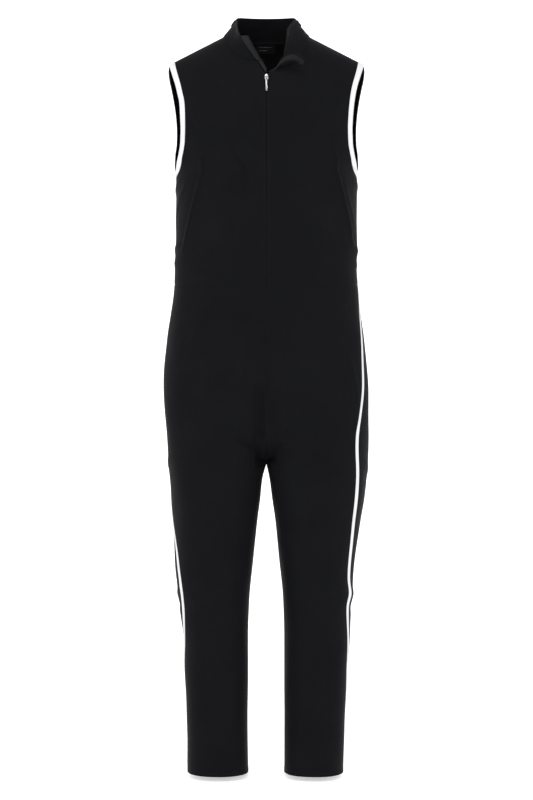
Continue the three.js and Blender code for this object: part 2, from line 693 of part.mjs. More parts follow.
// A plain label on the inside of the back bodice, hanging from the neck seam.
function neckLabel() {
  const lineAt = (x, drop) => {
    const side = x < 0 ? rightSide : leftSide;
    const seamTurn = Math.asin(Math.abs(x) / neckHalf);
    const z = backNeckZ * Math.cos(seamTurn) - label.topDrop - drop;
    const pointOf = (atX, atZ) => bodicePoint(side, atZ, -aroundAt(side, Math.abs(atX), atZ, false));
    const point = pointOf(x, z);
    const alongZ = pointOf(x, z + 0.5).sub(pointOf(x, z - 0.5));
    const alongX = new THREE.Vector3(1, 0, 0);
    return { point, normal: alongX.cross(alongZ).normalize() };
  };
  const lines = spread(2, 0, label.height).map((drop) =>
    spread(4, label.fromX, label.toX).map((x) => lineAt(x, drop)),
  );
  const move = (distance) =>
    lines.map((line) => line.map(({ point, normal }) => point.clone().addScaledVector(normal, distance)));
  return wallBetween(move(clothWall + label.gap), move(clothWall + label.gap + tapeWall));
}

// A closed geometry as a solid that can be joined and cut.
function solidFrom(geometry) {
  const plain = geometry.clone();
  plain.deleteAttribute("normal");
  plain.deleteAttribute("uv");
  const merged = mergeVertices(plain);
  const vertProperties = merged.getAttribute("position").array;
  return new wasm.Manifold(new wasm.Mesh({ numProp: 3, vertProperties, triVerts: merged.index.array }));
}

function geometryFrom(solid) {
  const mesh = solid.getMesh();
  const geometry = new THREE.BufferGeometry();
  geometry.setAttribute("position", new THREE.BufferAttribute(mesh.vertProperties, 3));
  geometry.setIndex(new THREE.BufferAttribute(mesh.triVerts, 1));
  geometry.computeVertexNormals();
  return geometry;
}

function extruded(shape, depth) {
  return new THREE.ExtrudeGeometry(shape, { depth, bevelEnabled: false, curveSegments: 8 });
}

// The slider's body, in a frame with the cloth behind it (+Y) and the zip along Z.
function sliderBodyGeometry() {
  const half = sliderBody.width / 2;
  const straight = sliderBody.length / 2 - half;
  const outline = new THREE.Shape();
  outline.moveTo(-half, -straight);
  outline.absarc(0, -straight, half, Math.PI, 2 * Math.PI);
  outline.absarc(0, straight, half, 0, Math.PI);
  outline.closePath();
  return extruded(outline, sliderBody.thick).rotateX(Math.PI / 2);
}

// The bail stands on the body as a bridge along the zip, and the pull tab's eye goes round it.
function bailGeometry() {
  const foot = bail.length / 2;
  const top = bail.top / 2;
  const bridge = new THREE.Shape();
  bridge.moveTo(-foot, -bail.sunk);
  bridge.lineTo(foot, -bail.sunk);
  bridge.lineTo(top, bail.stand);
  bridge.lineTo(-top, bail.stand);
  bridge.closePath();
  const gap = new THREE.Path();
  gap.moveTo(-foot + bail.bar, 0);
  gap.lineTo(-top + bail.bar, bail.stand - bail.bar);
  gap.lineTo(top - bail.bar, bail.stand - bail.bar);
  gap.lineTo(foot - bail.bar, 0);
  gap.closePath();
  bridge.holes.push(gap);
  const turned = new THREE.Matrix4().set(
    0, 0, 1, -bail.width / 2,
    0, -1, 0, -sliderBody.thick,
    1, 0, 0, 0,
    0, 0, 0, 1,
  );
  return extruded(bridge, bail.width).applyMatrix4(turned);
}

function sliderGeometry() {
  return geometryFrom(solidFrom(sliderBodyGeometry()).add(solidFrom(bailGeometry())));
}

// The pull tab hangs from its eye. Its origin is the middle of the eye's top bar.
function tabGeometry() {
  const half = tab.width / 2;
  const eyeSide = -tab.holeEnd + 0.7;
  const eyeBottom = -tab.holeEnd - tab.bar;
  const outline = new THREE.Shape();
  outline.moveTo(-tab.eyeHalf, tab.bar / 2 - 1);
  outline.lineTo(-tab.eyeHalf + 1, tab.bar / 2);
  outline.lineTo(tab.eyeHalf - 1, tab.bar / 2);
  outline.lineTo(tab.eyeHalf, tab.bar / 2 - 1);
  outline.lineTo(tab.eyeHalf, eyeSide);
  outline.lineTo(half, eyeBottom - 0.6);
  outline.lineTo(half, -tab.length + half);
  outline.absarc(0, -tab.length + half, half, 0, -Math.PI, true);
  outline.lineTo(-half, eyeBottom - 0.6);
  outline.lineTo(-tab.eyeHalf, eyeSide);
  outline.closePath();
  const hole = new THREE.Path();
  hole.moveTo(-tab.holeHalf, -tab.bar / 2);
  hole.lineTo(-tab.holeHalf, -tab.holeEnd);
  hole.lineTo(tab.holeHalf, -tab.holeEnd);
  hole.lineTo(tab.holeHalf, -tab.bar / 2);
  hole.closePath();
  outline.holes.push(hole);
  return extruded(outline, tab.thick).rotateX(Math.PI / 2).translate(0, tab.thick / 2, 0);
}

// The zip's frame: on the front centre line at the slider, turned to the slope of the cloth there.
function zipGroup() {
  const reach = sliderBody.length / 2;
  const clothAt = (z) => bodicePoint(leftSide, z, 1);
  const slope = clothAt(sliderZ + reach).sub(clothAt(sliderZ - reach));
  const group = new THREE.Group();
  group.position.copy(clothAt(sliderZ)).setX(0);
  group.rotation.x = -Math.atan2(slope.y, slope.z);
  return group;
}

function addMesh(parent, name, geometry, look) {
  const mesh = new THREE.Mesh(geometry, new THREE.MeshStandardMaterial(look));
  mesh.name = name;
  parent.add(mesh);
  return mesh;
}

const wasm = await Module();
wasm.setup();

const jumpsuit = new THREE.Group();
for (const side of bothSides) {
  addMesh(jumpsuit, "front_bodice_" + side.name, bodiceFront(side), black);
  addMesh(jumpsuit, "trouser_front_" + side.name, trouserPanel(side, true), black);
  addMesh(jumpsuit, "trouser_back_" + side.name, trouserPanel(side, false), black);
  addMesh(jumpsuit, "armhole_tape_" + side.name, armholeTape(side), white);
  addMesh(jumpsuit, "bodice_stripe_" + side.name, bodiceStripe(side), white);
  addMesh(jumpsuit, "leg_stripe_" + side.name, legStripe(side), white);
}
addMesh(jumpsuit, "back_bodice", bodiceBack(), black);
addMesh(jumpsuit, "collar", collar(), black);
addMesh(jumpsuit, "zip_tape_right", zipTape(rightSide, rightTapeReach), tapeBlack);
addMesh(jumpsuit, "zip_tape_left", zipTape(leftSide, leftTapeReach), tapeBlack);
addMesh(jumpsuit, "neck_label", neckLabel(), tapeBlack);

const zip = zipGroup();
jumpsuit.add(zip);
const slider = addMesh(zip, "zip_slider", sliderGeometry(), steel);
slider.position.y = -layGap;
const pullTab = addMesh(zip, "pull_tab", tabGeometry(), steel);
pullTab.position.y = -layGap - sliderBody.thick - hingeStand;
pullTab.rotation.x = THREE.MathUtils.degToRad(tabRestDegrees);

export default jumpsuit;
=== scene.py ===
import math
import bmesh
import bpy
import numpy as np
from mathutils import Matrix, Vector


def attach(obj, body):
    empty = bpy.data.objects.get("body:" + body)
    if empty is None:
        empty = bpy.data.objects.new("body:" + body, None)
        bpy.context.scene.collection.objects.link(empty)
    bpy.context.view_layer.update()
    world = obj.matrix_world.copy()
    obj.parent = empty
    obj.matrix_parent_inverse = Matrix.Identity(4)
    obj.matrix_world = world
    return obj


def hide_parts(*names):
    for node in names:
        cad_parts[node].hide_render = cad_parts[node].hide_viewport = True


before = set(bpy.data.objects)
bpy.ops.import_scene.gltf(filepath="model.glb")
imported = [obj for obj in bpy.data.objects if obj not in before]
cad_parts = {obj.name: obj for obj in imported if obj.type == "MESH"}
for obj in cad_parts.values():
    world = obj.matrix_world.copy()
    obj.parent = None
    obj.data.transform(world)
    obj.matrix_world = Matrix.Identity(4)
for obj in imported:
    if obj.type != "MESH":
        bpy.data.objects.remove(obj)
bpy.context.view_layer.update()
print("frame loaded")

mm = 0.001  # sizes below are millimetres: z up, the front towards -y, the wearer's left at +x

camera = {
    "place": (0, -4400, -467),
    "target": (0, 0, -686),
    "lens": 104.2,
}


def aim(thing, start, target):
    thing.location = Vector(start) * mm
    gaze = (Vector(target) - Vector(start)).normalized()
    thing.rotation_euler = gaze.to_track_quat("-Z", "Y").to_euler()


def addCamera():
    data = bpy.data.cameras.new("camera")
    data.lens = camera["lens"]
    data.clip_end = 50
    view = bpy.data.objects.new("camera", data)
    bpy.context.scene.collection.objects.link(view)
    aim(view, camera["place"], camera["target"])
    bpy.context.scene.camera = view


addCamera()
print("camera placed")

body = {
    "waist": -467,
    "crotch": -800,
    "hem": -1398,
    "frontRise": -655,
    "backRise": -640,
    "armhole": -255,
    "chestTop": -230,
    "power": 2.3,  # 2 makes a section an ellipse
    "foldFade": 0.14,  # folds fade out near the side line and the inseam
    "centreFade": 0.1,
    "riseFrom": 0.6,  # the crotch curve starts this far round
    "risePowers": (2, 0.5),
    "cloth": 1.0,
}
shoulder = {
    "neckHalf": 81,
    "neckRise": 20,
    "tipHalf": 184,
    "tip": -52,
    "seamY": 5,
    "backNeck": -4,
    "frontPower": 2.2,
    "backPower": 4,
    "opening": -78,
    "neckShare": 0.42,
    "neckTurn": 80,  # degrees of a quarter ellipse that the neckline follows
    "waistLean": 0.72,
}

# Half-widths of the two sides and the depths to the front and back, down the body
form = {
    "z": [10, -51, -110, -180, -230, -258, -345, -420, -467, -520, -572, -667, -740, -800, -838,
          -876, -914, -990, -1066, -1142, -1218, -1294, -1400],
    "right": [201, 193, 183, 178, 179.5, 171, 171, 173, 175, 181, 189, 196, 191, 187, 183.5, 181,
              178, 175, 168, 158.5, 156, 152.5, 150.5],
    "left": [201, 193, 182, 178, 179.5, 171, 170.5, 170, 173, 179, 186, 194, 194, 193, 190, 186,
             180, 169, 163, 159, 153.5, 150, 147.5],
    "front": [102, 107, 112, 117, 120, 121, 120, 115, 112, 114, 116, 116, 113, 109, 104, 99,
              94, 85, 77, 70, 65, 61, 58],
    "back": [98, 106, 111, 112, 110, 108, 98, 92, 95, 108, 122, 137, 134, 123, 112, 103,
             96, 87, 80, 74, 70, 68, 66],
}
insideLegs = {
    "z": [-800, -838, -876, -914, -990, -1066, -1142, -1218, -1294, -1400],
    "right": [-2, 8, 12, 17, 25, 32.5, 35, 35, 36, 35],
    "left": [-2, 6, 11, 16.5, 24, 31.5, 33.5, 33.5, 34, 34],
}
# Where the side seams lie, as a share of the way from the side line to the front centre
sideSeams = {
    "z": [-255, -345, -420, -467, -520, -572, -667, -740, -800, -838, -876,
          -914, -990, -1066, -1142, -1218, -1294, -1400],
    "right": [0, 0, -0.02, -0.04, -0.06, -0.08, -0.08, -0.07, -0.05, -0.04, 0,
              0.05, 0.155, 0.185, 0.1, 0.02, 0, 0],
    "left": [0, 0.01, 0.02, 0.05, 0.115, 0.19, 0.25, 0.265, 0.235, 0.225, 0.225,
             0.22, 0.2, 0.185, 0.12, 0.06, 0.02, 0],
}
armholeCut = {
    "z": [-52, -63, -78, -97, -116, -135, -154, -178, -201, -222, -240, -256],
    "front": [184, 180.5, 175.5, 169.5, 165.5, 162.8, 161, 159.8, 160.4, 163.4, 167.8, 171.1],
    "back": [184, 186, 184.5, 180.5, 177, 174, 172, 170.8, 171.5, 174, 174.5, 171.1],
}

# The largest folds, on the front (face 1) and back (face -1): from x, z to x, z, reach and height
largeFolds = [
    (1, -112, -195, -158, -415, 17, 2.5),
    (1, 120, -215, 166, -410, 17, 3.5),
    (1, -62, -205, -32, -300, 14, -3),
    (1, -155, -125, -120, -180, 14, -2),
    (1, 1, -575, -8, -745, 15, -7),
    (1, -14, -660, -13, -800, 10, -11),
    (1, 12, -690, 13, -795, 9, -8),
    (1, -1, -700, 1, -775, 4, 5),
    (1, -38, -545, -44, -735, 16, 3),
    (1, 30, -545, 34, -740, 16, 3),
    (1, 150, -600, 160, -715, 12, 2),
    (1, 114, -1015, 154, -1050, 15, 5),
    (1, -70, -1030, -128, -1065, 18, 4),
    (-1, -60, -395, -150, -425, 18, 5),
    (-1, 55, -410, 148, -440, 18, 5),
    (-1, -105, -120, -80, -300, 20, 4),
    (-1, 100, -130, 84, -310, 20, 4),
    (-1, -60, -800, -130, -860, 18, 5),
    (-1, 60, -805, 128, -870, 18, 5),
    (-1, -60, -1040, -130, -1085, 16, -4),
    (-1, 62, -1050, 126, -1080, 16, -4),
]


def curveOf(table, column, along="z"):
    # A smooth curve through one column of a table, without overshoot
    at = np.array(table[along], float)
    value = np.array(table[column], float)
    if at[0] > at[-1]:
        at, value = at[::-1], value[::-1]
    rise = np.diff(value) / np.diff(at)
    before = np.concatenate(([rise[0]], rise))
    after = np.concatenate((rise, [rise[-1]]))
    bends = before * after > 0
    slope = np.where(bends, 2 * before * after / np.where(bends, before + after, 1), 0)

    def curve(place):
        place = np.clip(np.asarray(place, float), at[0], at[-1])
        i = np.clip(np.searchsorted(at, place, side="right") - 1, 0, len(rise) - 1)
        span = at[i + 1] - at[i]
        t = (place - at[i]) / span
        s = 1 - t
        return (s * s * (1 + 2 * t) * value[i] + t * t * (1 + 2 * s) * value[i + 1]
                + span * s * t * (s * slope[i] - t * slope[i + 1]))

    return curve


def smooth(share):
    share = np.clip(share, 0, 1)
    return share * share * (3 - 2 * share)


def mix(a, b, share):
    return a + (b - a) * share


def rounded(value):
    return np.sign(value) * np.abs(value) ** (2 / body["power"])


frontDepth = curveOf(form, "front")
backDepth = curveOf(form, "back")
armholeFront = curveOf(armholeCut, "front")
armholeBack = curveOf(armholeCut, "back")


def makeSide(name, sign, neckX, neckZ):
    return {"name": name, "sign": sign, "neckX": neckX, "neckZ": neckZ,
            "outer": curveOf(form, name), "inner": curveOf(insideLegs, name),
            "seam": curveOf(sideSeams, name)}


rightSide = makeSide("right", -1, 18, -50)
leftSide = makeSide("left", 1, 18, -63)


def legShare(z, around):
    # From 0 on the trunk to 1 on the legs, along the crotch curve at the centre
    start = np.where(around > 0, body["frontRise"], body["backRise"])
    share = np.clip((start - z) / (start - body["crotch"]), 0, 1)
    nearCentre = smooth((np.abs(around) - body["riseFrom"]) / (1 - body["riseFrom"]))
    return 1 - (1 - share * share) ** mix(*body["risePowers"], nearCentre)


def largeFoldHeight(x, z, isFront):
    height = np.zeros(np.broadcast(x, z).shape)
    for face, fromX, fromZ, toX, toZ, reach, rise in largeFolds:
        alongX, alongZ = toX - fromX, toZ - fromZ
        share = ((x - fromX) * alongX + (z - fromZ) * alongZ) / (alongX ** 2 + alongZ ** 2)
        near = np.clip(share, 0, 1)
        away = np.hypot(x - fromX - near * alongX, z - fromZ - near * alongZ)
        height += np.where(isFront == (face > 0), rise * np.exp(-((away / reach) ** 2)), 0)
    return height


def bodyPoint(side, z, around):
    # Around runs from 1 at the front centre or inseam through 0 at the side to -1 at the back
    z, around = np.broadcast_arrays(np.asarray(z, float), np.asarray(around, float))
    isFront = around > 0
    share = np.abs(around)
    outer, inner = side["outer"](z), side["inner"](np.minimum(z, body["crotch"]))
    depth = np.where(isFront, frontDepth(z), backDepth(z))
    trunkTurn = (math.pi / 2) * (1 - share)
    trunkX = outer * rounded(np.sin(trunkTurn))
    trunkY = depth * rounded(np.cos(trunkTurn))
    legTurn = math.pi * (0.5 - share)
    legCentre = (outer + inner) / 2
    legX = legCentre + (legCentre - inner) * rounded(np.sin(legTurn))
    legY = depth * rounded(np.cos(legTurn))
    blend = legShare(z, around)
    centreX = blend * legCentre
    x = mix(trunkX, legX, blend)
    y = mix(trunkY, legY, blend)
    fade = smooth(share / body["foldFade"]) * mix(1, smooth((1 - share) / body["foldFade"]), blend)
    lift = fade * largeFoldHeight(side["sign"] * x, z, isFront)
    lift = lift / np.maximum(np.hypot(x - centreX, y), 1)
    x = x + (x - centreX) * lift * smooth((1 - share) / body["centreFade"])
    y = y + y * lift
    return np.stack([side["sign"] * x, np.where(isFront, -y, y), z], axis=-1)


def shoulderTop(x):
    slope = shoulder["tip"] / (shoulder["tipHalf"] - shoulder["neckHalf"])
    overNeck = shoulder["neckRise"] * (1 - (x / shoulder["neckHalf"]) ** 2)
    return np.where(x < shoulder["neckHalf"], overNeck, slope * (x - shoulder["neckHalf"]))


def bodicePoint(side, z, around):
    # The trunk's section, drawn in towards the shoulder seam above the chest
    point = bodyPoint(side, z, around)
    z, around = np.broadcast_arrays(np.asarray(z, float), np.asarray(around, float))
    isFront = around > 0
    power = np.where(isFront, shoulder["frontPower"], shoulder["backPower"])
    top = shoulderTop(np.abs(point[..., 0]))
    share = np.clip((z - body["chestTop"]) / (top - body["chestTop"]), 0, 1)
    kept = (1 - share ** power) ** (1 / power)
    point[..., 1] = shoulder["seamY"] * (1 - kept) + point[..., 1] * kept
    return point


def aroundAt(side, x, z):
    share = np.clip(x / side["outer"](z), 0, 1)
    return 1 - np.arcsin(share ** (body["power"] / 2)) / (math.pi / 2)


def quarterLength(side, z):
    # The way from the side line to the front or back centre, or to the inseam on a leg
    depth = (frontDepth(z) + backDepth(z)) / 2
    outer, inner = side["outer"](z), side["inner"](np.minimum(z, body["crotch"]))
    trunk = (math.pi / 2) * np.hypot(outer, depth) * math.sqrt(0.5)
    leg = math.pi * np.hypot((outer - inner) / 2, depth) * math.sqrt(0.5)
    return mix(trunk, leg, legShare(z, 0))


print("form ready")

# Soft creases over the large folds, from x, z to x, z: how far the middle bends aside, the
# reach to each side and the height. Face 1 is the front and -1 the back.
creases = [
    (1, -109, -200, -160, -420, 1, 3.6, 2.6),
    (1, -138, -260, -172, -370, -5, 6, 0.8),
    (1, 115, -200, 164, -410, -1, 3.6, 3.0),
    (1, 142, -270, 170, -370, 6, 6, 0.8),
    (1, -62, -210, -33, -296, 5, 3.5, -2.2),
    (1, -53, -212, -24, -300, 5, 3.5, 1.4),
    (1, -30, -395, -6, -432, 3, 3, 1.2),
    (1, 22, -402, 4, -432, -3, 3, 1.0),
    (1, -158, -122, -122, -178, -5, 5, -1.0),
    (1, -150, -128, -114, -184, -5, 4, 0.8),
    (1, 150, -110, 120, -175, 5, 7, 1.0),
    (1, -96, -60, -66, -150, 6, 9, 0.9),
    (1, 92, -66, 64, -150, -6, 9, 0.9),
    (1, -40, -92, -24, -170, 4, 7, 0.8),
    (1, 36, -96, 22, -180, -4, 7, 0.8),
    (1, -20, -330, -70, -400, 5, 7, 0.8),
    (1, 18, -340, 66, -410, -5, 7, 0.8),
    (1, -90, -420, -165, -395, 6, 6, 1.0),
    (1, 88, -425, 164, -398, -6, 6, 1.0),
    (1, -60, -452, -150, -440, 4, 5, 0.8),
    (1, 60, -450, 150, -442, -4, 5, 0.8),
    (1, -4, -560, -12, -770, 3, 5, -1.6),
    (1, -16, -600, -22, -760, 3, 5, 1.0),
    (1, 14, -590, 20, -750, -3, 5, 1.0),
    (1, -44, -550, -50, -720, 3, 6, 1.1),
    (1, 34, -550, 40, -730, -3, 6, 1.1),
    (1, -8, -790, -90, -745, 8, 7, 1.2),
    (1, 8, -792, 86, -750, -8, 7, 1.2),
    (1, -12, -822, -80, -790, 8, 6, 0.9),
    (1, 12, -824, 78, -792, -8, 6, 0.9),
    (1, -100, -500, -150, -640, -6, 9, 1.2),
    (1, 150, -590, 172, -715, -5, 4, 1.2),
    (1, 138, -610, 168, -760, 5, 6, -1.0),
    (1, 120, -520, 150, -600, 6, 8, 1.0),
    (1, -96, -860, -88, -990, 4, 10, 1.0),
    (1, 92, -870, 96, -1000, -4, 10, 1.0),
    (1, 110, -1008, 154, -1046, 4, 5, 1.8),
    (1, 104, -1032, 148, -1066, 4, 5, -1.2),
    (1, 98, -1056, 144, -1092, 4, 6, 1.1),
    (1, -66, -1024, -130, -1060, -5, 6, 1.3),
    (1, -72, -1050, -134, -1090, -5, 6, -0.9),
    (1, -60, -1085, -120, -1112, -5, 6, 0.8),
    (1, -84, -1120, -92, -1280, 4, 9, 0.9),
    (1, 88, -1130, 92, -1290, -4, 9, 0.9),
    (1, -50, -1215, -120, -1245, -5, 7, 0.7),
    (1, 54, -1225, 122, -1252, 5, 7, 0.7),
    (-1, -58, -392, -152, -424, 6, 7, 1.5),
    (-1, 54, -408, 150, -438, -6, 7, 1.5),
    (-1, -40, -430, -120, -446, 5, 6, 1.1),
    (-1, 36, -440, 118, -452, -5, 6, 1.1),
    (-1, -104, -118, -78, -300, 8, 9, 1.2),
    (-1, 100, -128, 82, -308, -8, 9, 1.2),
    (-1, -30, -120, -50, -330, 6, 10, 0.8),
    (-1, 34, -130, 48, -340, -6, 10, 0.8),
    (-1, -10, -700, -90, -790, 10, 9, 1.3),
    (-1, 10, -704, 88, -794, -10, 9, 1.3),
    (-1, -58, -800, -134, -862, 7, 7, 1.6),
    (-1, 58, -806, 130, -872, -7, 7, 1.6),
    (-1, -50, -832, -120, -890, 7, 7, -1.1),
    (-1, 50, -838, 118, -896, -7, 7, -1.1),
    (-1, -58, -1036, -132, -1084, -5, 6, -1.6),
    (-1, 60, -1046, 128, -1080, 5, 6, -1.6),
    (-1, -54, -1062, -128, -1106, -5, 7, 1.4),
    (-1, 56, -1068, 126, -1104, 5, 7, 1.4),
    (-1, -60, -1096, -124, -1140, -5, 7, 1.0),
    (-1, 58, -1100, 122, -1138, 5, 7, 1.0),
    (-1, -86, -1180, -92, -1320, 5, 10, 0.8),
    (-1, 88, -1190, 92, -1330, -5, 10, 0.8),
]
# The same where a crease crosses the side line: side, then millimetres forward of it, and z
sideCreases = [
    (-1, 60, -268, -50, -300, 6, 8, 1.2),
    (1, 62, -272, -48, -306, -6, 8, 1.2),
    (-1, 70, -385, -60, -410, 5, 6, 1.4),
    (1, 66, -390, -62, -418, 5, 6, 1.4),
    (-1, 50, -425, -70, -440, -4, 6, 1.0),
    (1, 54, -428, -66, -446, -4, 6, 1.0),
    (-1, 60, -780, -70, -830, 8, 9, 1.0),
    (1, 58, -790, -66, -842, 8, 9, 1.0),
    (-1, 50, -1030, -60, -1075, 6, 7, 1.2),
    (1, 46, -1040, -64, -1088, 6, 7, 1.2),
    (-1, 48, -1066, -58, -1104, -5, 7, -0.9),
    (1, 44, -1072, -60, -1112, -5, 7, -0.9),
]
# A slight unevenness all over: wave lengths around and down, height and shift
ripples = [(140, 420, 0.5, 0.3), (83, 260, 0.3, 1.9), (57, 340, 0.2, 4.1), (210, 95, 0.3, 2.6)]
creaseShape = {
    "height": 1.3,  # raises every crease alike
    "counts": 3.2,  # reaches away from its line that a crease is worked out to
    "taper": 3.6,  # its ends fade over one part in this many of its length
    "lean": 0.35,  # how much steeper one flank is
    "topDrop": 20,  # creases fade out this far below the shoulder's tip
    "topFade": 60,
}


def aroundOfX(side, face, x, z):
    around = np.linspace(0, face, 61)
    lines = np.abs(bodyPoint(side, z, around)[:, 0])
    return np.interp(abs(x), lines[::-1], around[::-1])


def creaseRuns():
    runs = []
    for face, fromX, fromZ, toX, toZ, bend, reach, height in creases:
        side = rightSide if fromX < 0 else leftSide
        ends = [(aroundOfX(side, face, x, z) * quarterLength(side, z), z)
                for x, z in ((fromX, fromZ), (toX, toZ))]
        runs.append((side["sign"], ends[0], ends[1], bend, reach, height))
    for sign, fromS, fromZ, toS, toZ, bend, reach, height in sideCreases:
        runs.append((sign, (fromS, fromZ), (toS, toZ), bend, reach, height))
    return runs


def curvedLine(start, end, bend, count=9):
    start, end = np.array(start, float), np.array(end, float)
    t = np.linspace(0, 1, count)[:, None]
    along = (end - start) / np.linalg.norm(end - start)
    aside = np.array([-along[1], along[0]]) * bend
    return start + (end - start) * t + aside * 4 * t * (1 - t)


allRuns = creaseRuns()


def clothLift(side, z, around):
    # How far the creases and the slight unevenness move the cloth out, in millimetres
    z, around = np.broadcast_arrays(np.asarray(z, float), np.asarray(around, float))
    s = around * quarterLength(side, z)
    lift = np.zeros(z.shape)
    for sign, start, end, bend, reach, height in allRuns:
        if sign != side["sign"]:
            continue
        line = curvedLine(start, end, bend)
        margin = creaseShape["counts"] * reach
        low, high = line.min(axis=0) - margin, line.max(axis=0) + margin
        near = (s > low[0]) & (s < high[0]) & (z > low[1]) & (z < high[1])
        if not near.any():
            continue
        point = np.stack([s[near], z[near]], axis=-1)
        best = np.full(len(point), 1e9)
        signed = np.zeros(len(point))
        share = np.zeros(len(point))
        for i in range(len(line) - 1):
            along = line[i + 1] - line[i]
            away = point - line[i]
            t = np.clip(away @ along / (along @ along), 0, 1)
            gap = away - t[:, None] * along
            distance = np.hypot(gap[:, 0], gap[:, 1])
            closer = distance < best
            best = np.where(closer, distance, best)
            turn = along[0] * away[:, 1] - along[1] * away[:, 0]
            signed = np.where(closer, np.sign(turn) * distance, signed)
            share = np.where(closer, (i + t) / (len(line) - 1), share)
        taper = smooth(np.minimum(share, 1 - share) * creaseShape["taper"])
        lean = 1 - creaseShape["lean"] * np.tanh(signed / reach)
        peak = creaseShape["height"] * height
        lift[near] += peak * taper * lean * np.exp(-((best / reach) ** 2))
    for waveS, waveZ, height, shift in ripples:
        lift += height * np.sin(2 * math.pi * s / waveS + shift + side["sign"]) * np.sin(
            2 * math.pi * z / waveZ + 2 * shift)
    top = smooth((shoulder["tip"] - creaseShape["topDrop"] - z) / creaseShape["topFade"])
    return lift * smooth((1 - np.abs(around)) / body["centreFade"]) * top


print("creases placed")


def spread(count, start=0.0, end=1.0):
    return list(np.linspace(start, end, count + 1))


def denseEnds(values, lead):
    # Adds a few places close to each end, where the cloth dips into a seam
    start, end = values[0], values[-1]
    near = [0.35, 1, 2]
    extra = [start + lead * n for n in near] + [end - lead * n for n in near]
    inner = [v for v in values[1:-1] if min(v - start, end - v) > 2.6 * lead]
    return np.array(sorted([start, end] + extra + inner))


# Points inside the pieces on the wearer's left, which their normals turn away from
inside = {
    "trunk": (0, 0, -200),
    "leg": (90, 0, -900),
    "stripe": (60, 0, -700),
    "collar": (0, 0, 10),
    "zipTape": (-200, 400, -100),
    "label": (0, -100, -20),
}


def gridNormals(grid, part, side=leftSide):
    # Each point's normal, turned outwards
    a, b = grid[:-1, :-1], grid[:-1, 1:]
    c, d = grid[1:, 1:], grid[1:, :-1]
    face = np.cross(c - a, d - b)
    total = np.zeros(grid.shape)
    for rows, columns in ((slice(0, -1), slice(0, -1)), (slice(0, -1), slice(1, None)),
                          (slice(1, None), slice(1, None)), (slice(1, None), slice(0, -1))):
        total[rows, columns] += face
    total /= np.maximum(np.linalg.norm(total, axis=-1, keepdims=True), 1e-12)
    centre = np.array(inside[part], float) * (side["sign"], 1, 1)
    if np.sum(total * (grid - centre)) < 0:
        total = -total
    return total


def lengths(grid, axis):
    # The way along the cloth from the grid's first line, and back from its last
    step = np.linalg.norm(np.diff(grid, axis=axis), axis=-1)
    pad = [(0, 0), (0, 0)]
    pad[axis] = (1, 0)
    way = np.cumsum(np.pad(step, pad), axis=axis)
    whole = way.max(axis=axis, keepdims=True)
    return way, whole - way


def meshObject(name, points, faces, material, uv=None):
    mesh = bpy.data.meshes.new(name)
    mesh.from_pydata((np.asarray(points) * mm).tolist(), [], np.asarray(faces).tolist())
    if uv is not None:
        layer = mesh.uv_layers.new(name="cloth")
        corner = np.empty(len(mesh.loops), dtype=np.int32)
        mesh.loops.foreach_get("vertex_index", corner)
        layer.data.foreach_set("uv", (np.asarray(uv)[corner] * mm).ravel())
    mesh.materials.append(material)
    mesh.shade_smooth()
    mesh.set_sharp_from_angle(angle=math.radians(55))
    thing = bpy.data.objects.new(name, mesh)
    bpy.context.scene.collection.objects.link(thing)
    return thing


def shell(name, grid, normals, thickness, material, outer=0.0):
    # A closed thin wall on a grid of points. Outer moves its outside away from the grid.
    rows, columns = grid.shape[:2]
    front = (grid + normals * outer).reshape(-1, 3)
    back = (grid + normals * (outer - thickness)).reshape(-1, 3)
    points = np.concatenate([front, back])
    index = np.arange(rows * columns).reshape(rows, columns)
    a, b = index[:-1, :-1].ravel(), index[:-1, 1:].ravel()
    c, d = index[1:, 1:].ravel(), index[1:, :-1].ravel()
    faceNormal = np.cross(front[c] - front[a], front[d] - front[b])
    if np.sum(faceNormal * normals.reshape(-1, 3)[a]) < 0:
        b, d = d, b
        ring = np.concatenate([index[:, 0], index[-1, 1:], index[::-1, -1][1:], index[0, ::-1][1:]])
    else:
        ring = np.concatenate([index[0], index[1:, -1], index[-1, ::-1][1:], index[::-1, 0][1:]])
    half = rows * columns
    near, after = ring[:-1], ring[1:]
    faces = np.concatenate([
        np.stack([a, b, c, d], axis=1),
        np.stack([a, d, c, b], axis=1) + half,
        np.stack([after, near, near + half, after + half], axis=1),
    ])
    across, _ = lengths(grid, 1)
    along, _ = lengths(grid, 0)
    uv = np.stack([across, along], axis=-1).reshape(-1, 2)
    return meshObject(name, points, faces, material, np.concatenate([uv, uv]))


def applyModifiers(thing, name):
    graph = bpy.context.evaluated_depsgraph_get()
    finished = bpy.data.meshes.new_from_object(thing.evaluated_get(graph))
    thing.modifiers.clear()
    thing.data = finished
    finished.name = name
    finished.shade_smooth()
    return finished


def place(piece, node, slot, bodyName="garment"):
    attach(piece, bodyName)
    if node:
        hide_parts(node)


# Shader node groups: the weave of a cloth, and a soft unevenness of colour and surface
def newGroup(name, inputs, outputs):
    group = bpy.data.node_groups.new(name, "ShaderNodeTree")
    for label, kind, value in inputs:
        socket = group.interface.new_socket(name=label, in_out="INPUT", socket_type=kind)
        if value is not None:
            socket.default_value = value
    for label, kind in outputs:
        group.interface.new_socket(name=label, in_out="OUTPUT", socket_type=kind)
    return group, group.nodes.new("NodeGroupInput"), group.nodes.new("NodeGroupOutput")


def mathNode(tree, operation, first, second=None, third=None):
    node = tree.nodes.new("ShaderNodeMath")
    node.operation = operation
    for slot, value in enumerate((first, second, third)):
        if value is None:
            continue
        if isinstance(value, (int, float)):
            node.inputs[slot].default_value = value
        else:
            tree.links.new(value, node.inputs[slot])
    return node.outputs[0]


